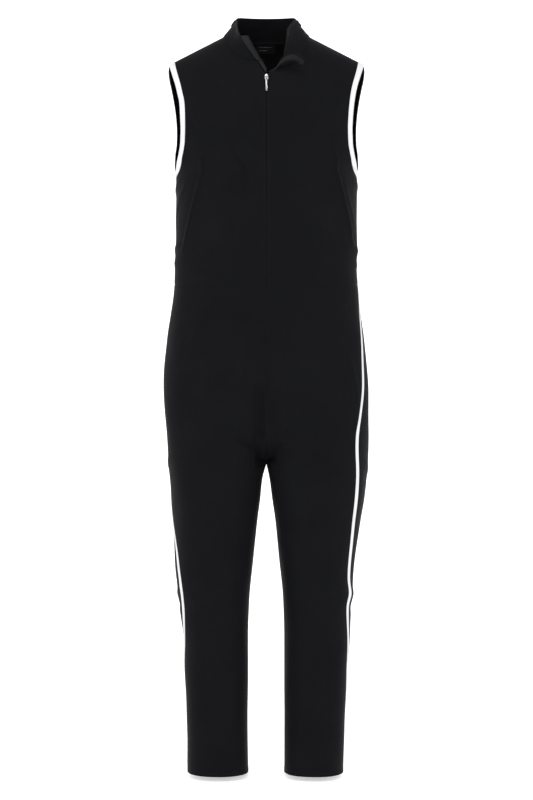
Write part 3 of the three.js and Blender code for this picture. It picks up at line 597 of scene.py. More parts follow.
def makeWeave():
    group, inner, outer = newGroup(
        "clothWeave",
        [("Coordinates", "NodeSocketVector", None), ("Threads", "NodeSocketFloat", 1600.0),
         ("Twill", "NodeSocketFloat", 0.0)],
        [("Height", "NodeSocketFloat"), ("Shade", "NodeSocketFloat")])
    wires = group.links
    scaled = group.nodes.new("ShaderNodeVectorMath")
    scaled.operation = "SCALE"
    wires.new(inner.outputs["Coordinates"], scaled.inputs[0])
    wires.new(inner.outputs["Threads"], scaled.inputs["Scale"])
    split = group.nodes.new("ShaderNodeSeparateXYZ")
    wires.new(scaled.outputs[0], split.inputs[0])
    lean = mathNode(group, "MULTIPLY", split.outputs[1], inner.outputs["Twill"])
    across = mathNode(group, "ADD", split.outputs[0], lean)
    warp = mathNode(group, "SINE", mathNode(group, "MULTIPLY", across, math.pi))
    weft = mathNode(group, "SINE", mathNode(group, "MULTIPLY", split.outputs[1], math.pi))
    crossed = mathNode(group, "MULTIPLY", warp, weft)
    height = mathNode(group, "MULTIPLY_ADD", crossed, 0.5, 0.5)
    slub = group.nodes.new("ShaderNodeTexNoise")
    slub.inputs["Scale"].default_value = 900.0
    slub.inputs["Detail"].default_value = 2.0
    wires.new(inner.outputs["Coordinates"], slub.inputs["Vector"])
    slubShade = mathNode(group, "MULTIPLY", slub.outputs["Fac"], 0.6)
    shade = mathNode(group, "MULTIPLY_ADD", height, 0.4, slubShade)
    wires.new(height, outer.inputs["Height"])
    wires.new(shade, outer.inputs["Shade"])
    return group


def makeMottle():
    group, inner, outer = newGroup(
        "clothMottle",
        [("Coordinates", "NodeSocketVector", None), ("Scale", "NodeSocketFloat", 14.0)],
        [("Mask", "NodeSocketFloat"), ("Crinkle", "NodeSocketFloat")])
    wires = group.links
    soft = group.nodes.new("ShaderNodeTexNoise")
    soft.inputs["Detail"].default_value = 3.0
    soft.inputs["Roughness"].default_value = 0.55
    wires.new(inner.outputs["Coordinates"], soft.inputs["Vector"])
    wires.new(inner.outputs["Scale"], soft.inputs["Scale"])
    fine = group.nodes.new("ShaderNodeTexNoise")
    fine.inputs["Scale"].default_value = 85.0
    fine.inputs["Detail"].default_value = 4.0
    fine.inputs["Roughness"].default_value = 0.6
    fine.inputs["Distortion"].default_value = 0.4
    wires.new(inner.outputs["Coordinates"], fine.inputs["Vector"])
    wires.new(soft.outputs["Fac"], outer.inputs["Mask"])
    wires.new(fine.outputs["Fac"], outer.inputs["Crinkle"])
    return group


weaveGroup = makeWeave()
mottleGroup = makeMottle()

finishes = {
    "blackCloth": {"dark": (0.0030, 0.0031, 0.0038), "light": (0.0051, 0.0053, 0.0063),
                   "threads": 1500.0, "twill": 0.0, "rough": (0.55, 0.72), "sheen": 0.012,
                   "specular": 0.024, "weaveBump": 0.10, "crinkleBump": 0.22},
    "whiteTape": {"dark": (0.52, 0.52, 0.53), "light": (0.66, 0.66, 0.67),
                  "threads": 1300.0, "twill": 1.0, "rough": (0.6, 0.8), "sheen": 0.05,
                  "specular": 0.3, "weaveBump": 0.3, "crinkleBump": 0.15},
    "zipTape": {"dark": (0.0055, 0.0055, 0.0062), "light": (0.010, 0.010, 0.011),
                "threads": 1800.0, "twill": 2.0, "rough": (0.5, 0.7), "sheen": 0.02,
                "specular": 0.10, "weaveBump": 0.3, "crinkleBump": 0.1},
    "blackThread": {"dark": (0.0035, 0.0035, 0.004), "light": (0.008, 0.008, 0.009),
                    "threads": 2500.0, "twill": 3.0, "rough": (0.4, 0.6), "sheen": 0.02,
                    "specular": 0.15, "weaveBump": 0.3, "crinkleBump": 0.1},
    "whiteThread": {"dark": (0.45, 0.45, 0.46), "light": (0.6, 0.6, 0.61),
                    "threads": 2500.0, "twill": 3.0, "rough": (0.4, 0.6), "sheen": 0.05,
                    "specular": 0.3, "weaveBump": 0.3, "crinkleBump": 0.1},
}


def toneRamp(tree, factor, dark, light, low=0.0, high=1.0):
    ramp = tree.nodes.new("ShaderNodeValToRGB")
    for element, at, colour in zip(ramp.color_ramp.elements, (low, high), (dark, light)):
        element.position = at
        element.color = (*colour, 1)
    tree.links.new(factor, ramp.inputs["Fac"])
    return ramp.outputs["Color"]


def clothMaterial(name, usesUv=True):
    finish = finishes[name]
    material = bpy.data.materials.new(name)
    material.use_nodes = True
    tree = material.node_tree
    shader = tree.nodes["Principled BSDF"]
    wires = tree.links
    coordinates = tree.nodes.new("ShaderNodeTexCoord")
    uv = tree.nodes.new("ShaderNodeUVMap")
    uv.uv_map = "cloth"
    weave = tree.nodes.new("ShaderNodeGroup")
    weave.node_tree = weaveGroup
    weave.inputs["Threads"].default_value = finish["threads"]
    weave.inputs["Twill"].default_value = finish["twill"]
    weaveSource = uv.outputs["UV"] if usesUv else coordinates.outputs["Object"]
    wires.new(weaveSource, weave.inputs["Coordinates"])
    mottle = tree.nodes.new("ShaderNodeGroup")
    mottle.node_tree = mottleGroup
    wires.new(coordinates.outputs["Object"], mottle.inputs["Coordinates"])
    tone = mathNode(tree, "MULTIPLY_ADD", weave.outputs["Shade"], 0.55,
                    mathNode(tree, "MULTIPLY", mottle.outputs["Mask"], 0.45))
    wires.new(toneRamp(tree, tone, finish["dark"], finish["light"], 0.25, 0.75),
              shader.inputs["Base Color"])
    low, high = finish["rough"]
    wires.new(mathNode(tree, "MULTIPLY_ADD", mottle.outputs["Crinkle"], high - low, low),
              shader.inputs["Roughness"])
    shader.inputs["Sheen Weight"].default_value = finish["sheen"]
    shader.inputs["Sheen Roughness"].default_value = 0.5
    shader.inputs["Specular IOR Level"].default_value = finish["specular"]
    crinkle = tree.nodes.new("ShaderNodeBump")
    crinkle.inputs["Strength"].default_value = finish["crinkleBump"]
    crinkle.inputs["Distance"].default_value = 0.0012
    wires.new(mottle.outputs["Crinkle"], crinkle.inputs["Height"])
    threads = tree.nodes.new("ShaderNodeBump")
    threads.inputs["Strength"].default_value = finish["weaveBump"]
    threads.inputs["Distance"].default_value = 0.0002
    wires.new(weave.outputs["Height"], threads.inputs["Height"])
    wires.new(crinkle.outputs["Normal"], threads.inputs["Normal"])
    wires.new(threads.outputs["Normal"], shader.inputs["Normal"])
    return material


metal = {"dark": (0.26, 0.26, 0.27), "light": (0.5, 0.5, 0.51), "rough": (0.22, 0.38)}


def metalMaterial():
    material = bpy.data.materials.new("zipMetal")
    material.use_nodes = True
    tree = material.node_tree
    shader = tree.nodes["Principled BSDF"]
    coordinates = tree.nodes.new("ShaderNodeTexCoord")
    mottle = tree.nodes.new("ShaderNodeGroup")
    mottle.node_tree = mottleGroup
    mottle.inputs["Scale"].default_value = 500.0
    tree.links.new(coordinates.outputs["Object"], mottle.inputs["Coordinates"])
    tone = toneRamp(tree, mottle.outputs["Mask"], metal["dark"], metal["light"], 0.3, 0.6)
    tree.links.new(tone, shader.inputs["Base Color"])
    low, high = metal["rough"]
    tree.links.new(mathNode(tree, "MULTIPLY_ADD", mottle.outputs["Mask"], high - low, low),
                   shader.inputs["Roughness"])
    shader.inputs["Metallic"].default_value = 1.0
    return material


blackCloth = clothMaterial("blackCloth")
whiteTape = clothMaterial("whiteTape")
zipTapeCloth = clothMaterial("zipTape")
blackThread = clothMaterial("blackThread", usesUv=False)
whiteThread = clothMaterial("whiteThread", usesUv=False)
zipMetal = metalMaterial()
print("materials made")

# Bodice
bodice = {
    "neckColumns": 34,
    "neckSpacing": 1.35,
    "sideColumns": 40,
    "rows": 130,
    "rowSpacing": 1.8,
    "waistRows": [0, 0.0018, 0.005, 0.01],
    "rowsFrom": 0.011,
    "rowGap": 0.002,
    "columnLead": 0.004,
    "armholeRowShare": math.sin(math.pi / 6),
    "seamDip": 0.8,
    "seamReach": 2.2,
    "zipDip": 1.0,
    "zipReach": 1.3,
    "sewn": 5.0,
}


def centreEdge(side, isFront, v):
    if not isFront:
        return np.ones_like(v), mix(body["waist"], shoulder["backNeck"], v)
    z = mix(body["waist"], side["neckZ"], v)
    opened = np.clip((z - shoulder["opening"]) / (side["neckZ"] - shoulder["opening"]), 0, 1)
    return aroundAt(side, side["neckX"] * opened, z), z


def armholeEdge(side, isFront, share):
    z = mix(body["armhole"], shoulder["tip"], share * share * (2 - share))
    x = (armholeFront if isFront else armholeBack)(z)
    return aroundAt(side, x, z), z


def sideEdge(side, isFront, v):
    start = bodice["armholeRowShare"]
    aroundTop, zTop = armholeEdge(side, isFront, np.clip((v - start) / (1 - start), 0, 1))
    z = mix(body["waist"], body["armhole"], np.clip(v / start, 0, 1))
    seam = (1 if isFront else -1) * side["seam"](z)
    above = v > start
    return np.where(above, aroundTop, seam), np.where(above, zTop, z)


def topEdge(side, isFront, u):
    share = shoulder["neckShare"]
    beyond = np.clip((u - share) / (1 - share), 0, 1)
    xShoulder = mix(shoulder["neckHalf"], shoulder["tipHalf"], beyond)
    last = math.radians(shoulder["neckTurn"])
    turn = last * np.clip(u / share, 0, 1)
    startX, startZ = (side["neckX"], side["neckZ"]) if isFront else (0, shoulder["backNeck"])
    onNeck = u < share
    xNeck = startX + (shoulder["neckHalf"] - startX) * np.sin(turn) / math.sin(last)
    zNeck = startZ * (np.cos(turn) - math.cos(last)) / (1 - math.cos(last))
    x = np.where(onNeck, xNeck, xShoulder)
    z = np.where(onNeck, zNeck, shoulderTop(xShoulder))
    return aroundAt(side, x, z), z


def bodicePlace(side, isFront, u, v):
    # Blends the four edges of half a bodice
    u, v = np.broadcast_arrays(np.asarray(u, float), np.asarray(v, float))
    one, zero = np.ones_like(u), np.zeros_like(u)
    centre, edge = centreEdge(side, isFront, v), sideEdge(side, isFront, v)
    top = topEdge(side, isFront, u)
    topStart, topEnd = topEdge(side, isFront, zero), topEdge(side, isFront, one)
    bottomStart, bottomEnd = centreEdge(side, isFront, zero), sideEdge(side, isFront, zero)
    nearCentre = np.clip(1 - u / shoulder["neckShare"], 0, 1) ** 2
    blended = []
    for i in (0, 1):
        bottom = mix(bottomStart[i], bottomEnd[i], u ** shoulder["waistLean"])
        blended.append(mix(bottom, top[i], v)
                       + nearCentre * (centre[i] - mix(bottomStart[i], topStart[i], v))
                       + u * (edge[i] - mix(bottomEnd[i], topEnd[i], v)))
    around, z = blended
    return (around if isFront else -around), z


neckPlaces = 1 - (1 - np.array(spread(bodice["neckColumns"]))) ** bodice["neckSpacing"]


def bodiceColumns():
    neck = list(neckPlaces * shoulder["neckShare"])
    side = spread(bodice["sideColumns"], shoulder["neckShare"], 1.0)
    return denseEnds(sorted(neck + side[1:]), bodice["columnLead"])


def bodiceRows():
    rows = list(1 - (1 - np.array(spread(bodice["rows"]))) ** bodice["rowSpacing"])
    armholeRow = bodice["armholeRowShare"]
    kept = [v for v in rows
            if v > bodice["rowsFrom"] and abs(v - armholeRow) > bodice["rowGap"]]
    return np.array(sorted(kept + bodice["waistRows"] + [armholeRow]))


def bodiceHalf(side, isFront):
    u, v = np.meshgrid(bodiceColumns(), bodiceRows())
    around, z = bodicePlace(side, isFront, u, v)
    return bodicePoint(side, z, around), clothLift(side, z, around)


def dipAtSeams(grid, lift, start=(True, True), end=(True, True), dip=0.8, reach=2.2):
    # Lets the cloth dip into the seams at the start and end of its columns and rows
    for axis in (1, 0):
        fromStart, fromEnd = lengths(grid, axis)
        which = 0 if axis == 1 else 1
        if start[which]:
            lift = lift - dip * np.exp(-((fromStart / reach) ** 2))
        if end[which]:
            lift = lift - dip * np.exp(-((fromEnd / reach) ** 2))
    return lift


def clothPiece(name, grid, lift, wall, part, side=leftSide):
    grid = grid + gridNormals(grid, part, side) * lift[..., None]
    return shell(name, grid, gridNormals(grid, part, side), wall, blackCloth), grid


def buildBodice():
    grids = {}
    for side in (rightSide, leftSide):
        grid, lift = bodiceHalf(side, True)
        lift = dipAtSeams(grid, lift, dip=bodice["seamDip"], reach=bodice["seamReach"])
        fromCentre = lengths(grid, 1)[0]
        lift = lift - bodice["zipDip"] * np.exp(-((fromCentre / bodice["zipReach"]) ** 2))
        name = "bodice_front_" + side["name"]
        piece, grids[name] = clothPiece(name, grid, lift, body["cloth"], "trunk")
        place(piece, "front_bodice_" + side["name"], "cloth")
    halves = [bodiceHalf(side, False) for side in (rightSide, leftSide)]
    grid = np.concatenate([halves[0][0][:, :0:-1], halves[1][0]], axis=1)
    lift = np.concatenate([halves[0][1][:, :0:-1], halves[1][1]], axis=1)
    lift = dipAtSeams(grid, lift, dip=bodice["seamDip"], reach=bodice["seamReach"])
    piece, grid = clothPiece("bodice_back", grid, lift, body["cloth"], "trunk")
    place(piece, "back_bodice", "cloth")
    return grids


bodiceGrids = buildBodice()
print("bodice built")

# Trousers
trousers = {
    "columns": 54,
    "hipRows": 34,
    "riseRows": 42,
    "legRows": 122,
    "seamDip": 0.8,
    "seamReach": 2.2,
    "columnLead": 0.0035,
    "waistDrops": [0.8, 2.2, 4.4],  # close rows under the waist seam and over the hem
    "hemRows": [11.5, 9.5, 8.2, 7.4, 6.5, 5, 2.5, 1.2, 0.5, 0],
    "hemRowsFrom": 13,
    "hemDepth": 8,
    "hemLift": 0.5,
    "hemEdge": 1.2,
    "hemSlope": 1.5,
    "stitchDip": 0.5,
    "stitchDrop": 0.8,
}


def trouserHeights():
    top = body["waist"]
    hip = spread(trousers["hipRows"], top, body["backRise"])
    rise = [mix(body["backRise"], body["crotch"], math.sin(math.pi / 2 * t))
            for t in spread(trousers["riseRows"])]
    leg = spread(trousers["legRows"], body["crotch"], body["hem"])
    near = [top - drop for drop in trousers["waistDrops"]]
    hem = [body["hem"] + up for up in trousers["hemRows"]]
    low = [z for z in leg[1:-1] if z > body["hem"] + trousers["hemRowsFrom"]]
    return np.array(hip[:1] + near + hip[2:] + rise[1:] + low + hem)


def trouserPanel(side, isFront):
    z = trouserHeights()[:, None]
    u = denseEnds(spread(trousers["columns"]), trousers["columnLead"])[None, :]
    around = mix(side["seam"](z), 1.0 if isFront else -1.0, u)
    z, around = np.broadcast_arrays(z, around)
    return bodyPoint(side, z, around), clothLift(side, z, around), z


def buildTrousers():
    grids = {}
    for side in (rightSide, leftSide):
        for isFront in (True, False):
            grid, lift, z = trouserPanel(side, isFront)
            lift = dipAtSeams(grid, lift, start=(True, True), end=(True, False),
                              dip=trousers["seamDip"], reach=trousers["seamReach"])
            up = z - body["hem"]
            hemShare = (trousers["hemDepth"] + trousers["hemEdge"] - up) / trousers["hemSlope"]
            lift = lift + trousers["hemLift"] * smooth(hemShare)
            drop = trousers["stitchDrop"]
            fromStitch = (up - trousers["hemDepth"] + drop) / drop
            lift = lift - trousers["stitchDip"] * np.exp(-(fromStitch ** 2))
            face = "front" if isFront else "back"
            name = f"leg_{face}_{side['name']}"
            piece, grids[name] = clothPiece(name, grid, lift, body["cloth"], "leg", side)
            place(piece, f"trouser_{face}_{side['name']}", "cloth")
    return grids


trouserGrids = buildTrousers()
print("trousers built")

# White side stripes
stripe = {
    "width": 10,
    "flatWidth": 10.2,
    "across": [-1, -0.93, -0.8, -0.4, 0, 0.4, 0.8, 0.93, 1],
    "wall": 0.6,
    "lift": 0.75,
    "rowStep": 5,
    "edgeDip": 0.25,
    "edgePower": 8,
    "belowArmhole": 11.5,
    "aboveWaist": 0.3,
    "belowWaist": 0.6,
    "aboveHem": 1,
    "sewn": 1.1,
}


def stripeGrid(side, heights):
    z = np.asarray(heights, float)[:, None]
    half = stripe["width"] / 2 / quarterLength(side, z)
    across = np.array(stripe["across"])[None, :]
    around = side["seam"](z) + half * across
    z, around = np.broadcast_arrays(z, around)
    grid = bodyPoint(side, z, around)
    normals = gridNormals(grid, "stripe", side)
    edge = stripe["edgeDip"] * np.abs(across) ** stripe["edgePower"]
    return grid + normals * (clothLift(side, z, around) - edge)[..., None], normals


def buildStripes():
    grids = {}
    spans = {
        "bodice": (body["waist"] + stripe["aboveWaist"], body["armhole"] - stripe["belowArmhole"]),
        "leg": (body["hem"] + stripe["aboveHem"], body["waist"] - stripe["belowWaist"]),
    }
    for side in (rightSide, leftSide):
        for part, (low, high) in spans.items():
            count = round((high - low) / stripe["rowStep"])
            grid, normals = stripeGrid(side, np.linspace(high, low, count + 1))
            name = f"stripe_{part}_{side['name']}"
            piece = shell(name, grid, normals, stripe["wall"], whiteTape, stripe["lift"])
            place(piece, f"{part}_stripe_{side['name']}", "white_tape")
            grids[name] = (grid, normals)
    return grids


stripeGrids = buildStripes()
print("stripes laid")

# White tape round the armholes
armholeTape = {
    "width": 12.5,
    "inset": 0.2,
    "across": [0, 0.03, 0.1, 0.3, 0.5, 0.7, 0.9, 0.97, 1],
    "wall": 0.6,
    "lift": 0.8,
    "rows": 64,
    "rowSpacing": 1.5,
    "turnStep": 0.02,
    "measureFrom": 0.95,
    "rowsFrom": 0.62,
    "rowsTo": 0.85,
    "sewn": 1.3,
}


def armholeTapeHalf(side, isFront, share):
    # Across the tape at each share of the way up the armhole: square to its edge, and along the
    # rows of the bodice near the shoulder
    face = 1 if isFront else -1

    def clothAt(around, z):
        return bodicePoint(side, z, face * around)

    share = share[:, None]
    around, z = armholeEdge(side, isFront, share)
    step = armholeTape["turnStep"]
    up = armholeEdge(side, isFront, np.clip(share + step, 0, 1))
    down = armholeEdge(side, isFront, np.clip(share - step, 0, 1))
    slopeAround = (clothAt(around + 1e-3, z) - clothAt(around, z)) * 1e3
    slopeZ = (clothAt(around, z) - clothAt(around, z - 0.1)) * 10
    normal = np.cross(slopeAround, slopeZ)
    normal *= -side["sign"] * face / np.linalg.norm(normal, axis=-1, keepdims=True)
    along = clothAt(*up) - clothAt(*down)
    along /= np.linalg.norm(along, axis=-1, keepdims=True)
    inwards = np.cross(normal, along) * side["sign"] * face
    aa, az = (slopeAround ** 2).sum(-1), (slopeAround * slopeZ).sum(-1)
    zz = (slopeZ ** 2).sum(-1)
    da, dz = (slopeAround * inwards).sum(-1), (slopeZ * inwards).sum(-1)
    scale = aa * zz - az * az
    across = np.array(armholeTape["across"])[None, :]
    distance = mix(armholeTape["inset"], armholeTape["width"], across)
    squareAround = around + (zz * da - az * dz) / scale * distance
    squareZ = z + (aa * dz - az * da) / scale * distance
    square = clothAt(squareAround, squareZ)
    v = mix(bodice["armholeRowShare"], 1.0, share)
    measureFrom = armholeTape["measureFrom"]
    inner = bodicePoint(side, *bodicePlace(side, isFront, measureFrom, v)[::-1])
    outer = bodicePoint(side, *bodicePlace(side, isFront, 1.0, v)[::-1])
    rowLength = np.linalg.norm(outer - inner, axis=-1) / (1 - measureFrom)
    rowPlace = bodicePlace(side, isFront, 1 - distance / rowLength, v)
    onRow = bodicePoint(side, rowPlace[1], rowPlace[0])
    start, end = armholeTape["rowsFrom"], armholeTape["rowsTo"]
    blend = smooth((share - start) / (end - start))
    return mix(square, onRow, blend[..., None])


def buildArmholeTapes():
    grids = {}
    shares = 1 - (1 - np.array(spread(armholeTape["rows"]))) ** armholeTape["rowSpacing"]
    for side in (rightSide, leftSide):
        front = armholeTapeHalf(side, True, shares)[::-1]
        back = armholeTapeHalf(side, False, shares)
        grid = np.concatenate([front, back[1:]])
        normals = gridNormals(grid, "trunk")
        name = "armhole_edge_" + side["name"]
        piece = shell(name, grid, normals, armholeTape["wall"], whiteTape, armholeTape["lift"])
        place(piece, "armhole_tape_" + side["name"], "white_tape")
        grids[name] = (grid, normals)
    return grids


tapeGrids = buildArmholeTapes()
print("armhole tapes laid")

# Stand collar: the middle and the top of its upright lines, from the wearer's right end (-1) round
# the back (0) to the left end (1), which is turned out
collar = {
    "at": [-1, -0.75, -0.5, -0.25, 0, 0.25, 0.5, 0.75, 0.88, 1],
    "midX": [-36, -58, -68, -51, 0, 51, 67, 45, 35, 42],
    "midY": [-83, -52, 2, 50, 74, 50, 2, -60, -90, -105],
    "midZ": [-28, -7, 18, 21, 21, 21, 18, -14, -30, -42],
    "topX": [-51, -55, -57, -45, 0, 45, 55, 39, 48, 70],
    "topY": [-78, -46, 2, 46, 68, 46, 0, -60, -94, -107],
    "topZ": [-6, 13, 34, 41, 42, 41, 34, 4, -20, -55],
    "rows": 26,
    "rowLead": 0.018,
    "gap": -2.2,
    "wall": 1.6,
    "seamDip": 1.8,
    "seamReach": 2.6,
    "sewn": 5.5,  # below the top edge, where the stitches press in
    "stitchDip": 0.35,
    "wave": 0.5,
    "waveAlong": 11,
    "waveUp": 9,
    "waveFade": 20,
}
collarCurves = {key: curveOf(collar, key, "at") for key in
                ("midX", "midY", "midZ", "topX", "topY", "topZ")}


def neckline(at):
    # The neck seam's points, and the way from them to the collar: square to the seam, on the cloth
    point = np.zeros((len(at), 3))
    across = np.zeros((len(at), 3))
    for side in (rightSide, leftSide):
        for isFront in (True, False):
            here = ((at < 0) == (side["sign"] < 0)) & ((np.abs(at) > 0.5) == isFront)
            if not here.any():
                continue
            away = np.abs(at[here])
            share = np.clip(2 * (1 - away) if isFront else 2 * away, 0, 1) * shoulder["neckShare"]
            step, last = 0.004, shoulder["neckShare"] - 1e-4
            low = np.clip(share - step, 0, last)
            high = np.clip(share + step, step, last)
            around, z = bodicePlace(side, isFront, share, np.ones_like(share))
            point[here] = bodicePoint(side, z, around)
            before = bodicePoint(side, *bodicePlace(side, isFront, low, np.ones_like(low))[::-1])
            after = bodicePoint(side, *bodicePlace(side, isFront, high, np.ones_like(high))[::-1])
            below = z - 0.2
            slopeA = (bodicePoint(side, below, around + 1e-3)
                      - bodicePoint(side, below, around - 1e-3))
            slopeZ = bodicePoint(side, below, around) - bodicePoint(side, below - 0.2, around)
            normal = np.cross(slopeA, slopeZ)
            way = np.cross(after - before, normal)
            way /= np.linalg.norm(way, axis=-1, keepdims=True)
            towards = np.array([0, 0, shoulder["neckRise"]]) - point[here]
            way *= np.where((way * towards).sum(-1, keepdims=True) < 0, -1, 1)
            across[here] = way
    return point, across


def collarPoint(at, up):
    # at is a list of places along the collar, up a list of heights from the seam (0) to the top (1)
    at = np.atleast_1d(np.asarray(at, float))
    point, across = neckline(at)
    base = (point + across * collar["gap"])[None]
    middle = np.stack([collarCurves[k](at) for k in ("midX", "midY", "midZ")], axis=-1)[None]
    top = np.stack([collarCurves[k](at) for k in ("topX", "topY", "topZ")], axis=-1)[None]
    up = np.atleast_1d(np.asarray(up, float))[:, None, None]
    return base * (1 - up) * (1 - 2 * up) + middle * 4 * up * (1 - up) + top * up * (2 * up - 1)


def collarPlaces():
    front = 1 - neckPlaces / 2  # away from the back centre, from the front end to the shoulder
    back = neckPlaces[::-1] / 2
    half = np.concatenate([front, back[1:]])
    return np.concatenate([-half, half[::-1][1:]])


def buildCollar():
    at = collarPlaces()
    grid = collarPoint(at, denseEnds(spread(collar["rows"]), collar["rowLead"]))
    lift = dipAtSeams(grid, np.zeros(grid.shape[:2]), start=(False, True), end=(False, False),
                      dip=collar["seamDip"], reach=collar["seamReach"])
    fromTop = lengths(grid, 0)[1]
    lift = lift - collar["stitchDip"] * np.exp(-((fromTop - collar["sewn"]) ** 2))
    way = lengths(grid, 1)[0]
    waves = np.sin(way / collar["waveAlong"] + 1) * np.sin(fromTop / collar["waveUp"])
    lift = lift + collar["wave"] * waves * smooth(fromTop / collar["waveFade"])
    piece, grid = clothPiece("stand_collar", grid, lift, collar["wall"], "collar")
    place(piece, "collar", "cloth")
    return grid


collarGrid = buildCollar()
print("collar built")

# Zip tapes in the neck opening: how far the free edge stands from the cloth edge, going up
zipTape = {
    "start": 5,
    "seat": 1.2,
    "rows": 60,
    "columns": 6,
    "bodicePart": 0.3,
    "wall": 0.7,
    "right": {"at": [0, 0.4, 1], "x": [3, 8, 14], "y": [0, 1, 2], "z": [0, 0, 1]},
    "left": {"at": [0, 0.3, 0.65, 1], "x": [-1.5, -2, 0, -3], "y": [0, -1.5, 5.5, 8],
             "z": [0, -3.5, -8.7, -6]},
}


def openingEdge(side, at):
    part = zipTape["bodicePart"]
    points = []
    for share in at:
        if share <= part:
            z = mix(shoulder["opening"] + zipTape["start"], side["neckZ"], share / part)
            v = (z - body["waist"]) / (side["neckZ"] - body["waist"])
            around, height = bodicePlace(side, True, 0.0, v)
            points.append(bodicePoint(side, height, around))
        else:
            points.append(collarPoint([side["sign"]], [(share - part) / (1 - part)])[0, 0])
    return np.array(points)


def buildZipTapes():
    edges = {}
    for side in (rightSide, leftSide):
        reach = zipTape[side["name"]]
        at = np.array(spread(zipTape["rows"]))
        edge = openingEdge(side, at)
        out = np.stack([curveOf(reach, key, "at")(at) for key in ("x", "y", "z")], axis=-1)
        start = out / np.linalg.norm(out, axis=-1, keepdims=True) * zipTape["seat"]
        u = np.array(spread(zipTape["columns"]))[None, :, None]
        grid = (edge + start)[:, None] + out[:, None] * u
        normals = gridNormals(grid, "zipTape", side)
        name = "zip_side_" + side["name"]
        piece = shell(name, grid, normals, zipTape["wall"], zipTapeCloth)
        place(piece, "zip_tape_" + side["name"], "black_tape")
        edges[name] = (grid[:, -1], normals[:, -1], out)
    return edges


zipEdges = buildZipTapes()
print("zip tapes built")

# Plain label inside the back neck
label = {
    "fromX": -21,
    "toX": 17,
    "topDrop": 2,
    "height": 16,
    "gap": 0.8,
    "wall": 0.5,
    "columns": 24,
    "rows": 14,
    "bars": [(4, 5, 20), (9, 5, 14)],  # two plain light lines: row, first and last column
}


def buildLabel():
    x = np.array(spread(label["columns"], label["fromX"], label["toX"]))[None, :]
    drop = np.array(spread(label["rows"], 0, label["height"]))[:, None]
    turn = np.arcsin(np.abs(x) / shoulder["neckHalf"])
    z = shoulder["backNeck"] * np.cos(turn) - label["topDrop"] - drop
    x, z = np.broadcast_arrays(x, z)
    grid = np.zeros((*x.shape, 3))
    for side in (rightSide, leftSide):
        here = (x < 0) == (side["sign"] < 0)
        around = -aroundAt(side, np.abs(x), z)
        grid[here] = bodicePoint(side, z, around)[here]
    normals = -gridNormals(grid, "label")
    piece = shell("neck_patch", grid, normals, label["wall"], zipTapeCloth,
                  body["cloth"] + label["gap"] + label["wall"])
    place(piece, "neck_label", "black_tape")
    return grid, normals


labelGrid, labelNormals = buildLabel()
print("label hung")

# Slider and pull tab: the solids' own shapes with softened edges
hardware = {
    "bevel": 0.22,
    "segments": 2,
    "bevelFrom": 35,  # degrees between faces
    "sharpFrom": 40,
    "sliderNarrow": 0.74,
    "tabFrom": -89,
    "tabStretch": 1.75,
    "tabLean": 0.245,
}


def softenedCopy(node, name, reshape):
    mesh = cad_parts[node].data.copy()
    for vertex in mesh.vertices:
        vertex.co = Vector(reshape(*(c / mm for c in vertex.co))) * mm
    clean = bmesh.new()
    clean.from_mesh(mesh)
    bmesh.ops.remove_doubles(clean, verts=clean.verts, dist=1e-6)
    bmesh.ops.dissolve_limit(clean, angle_limit=math.radians(1), verts=clean.verts,
                             edges=clean.edges)
    bmesh.ops.recalc_face_normals(clean, faces=clean.faces)
    clean.to_mesh(mesh)
    clean.free()
    thing = bpy.data.objects.new(name, mesh)
    bpy.context.scene.collection.objects.link(thing)
    bevel = thing.modifiers.new("soften", "BEVEL")
    bevel.width = hardware["bevel"] * mm
    bevel.segments = hardware["segments"]
    bevel.limit_method = "ANGLE"
    bevel.angle_limit = math.radians(hardware["bevelFrom"])
    finished = applyModifiers(thing, name)
    finished.materials.clear()
    finished.materials.append(zipMetal)
    finished.set_sharp_from_angle(angle=math.radians(hardware["sharpFrom"]))
    return thing


def narrowed(x, y, z):
    return x * hardware["sliderNarrow"], y, z


def lengthened(x, y, z):
    more = max(hardware["tabFrom"] - z, 0) * (hardware["tabStretch"] - 1)
    return x, y - more * hardware["tabLean"], z - more


def buildHardware():
    slider = softenedCopy("zip_slider", "slider", narrowed)
    place(slider, "zip_slider", "metal")
    tab = softenedCopy("pull_tab", "pull", lengthened)
    place(tab, "pull_tab", "metal", "pull_tab")


buildHardware()
print("slider and pull finished")


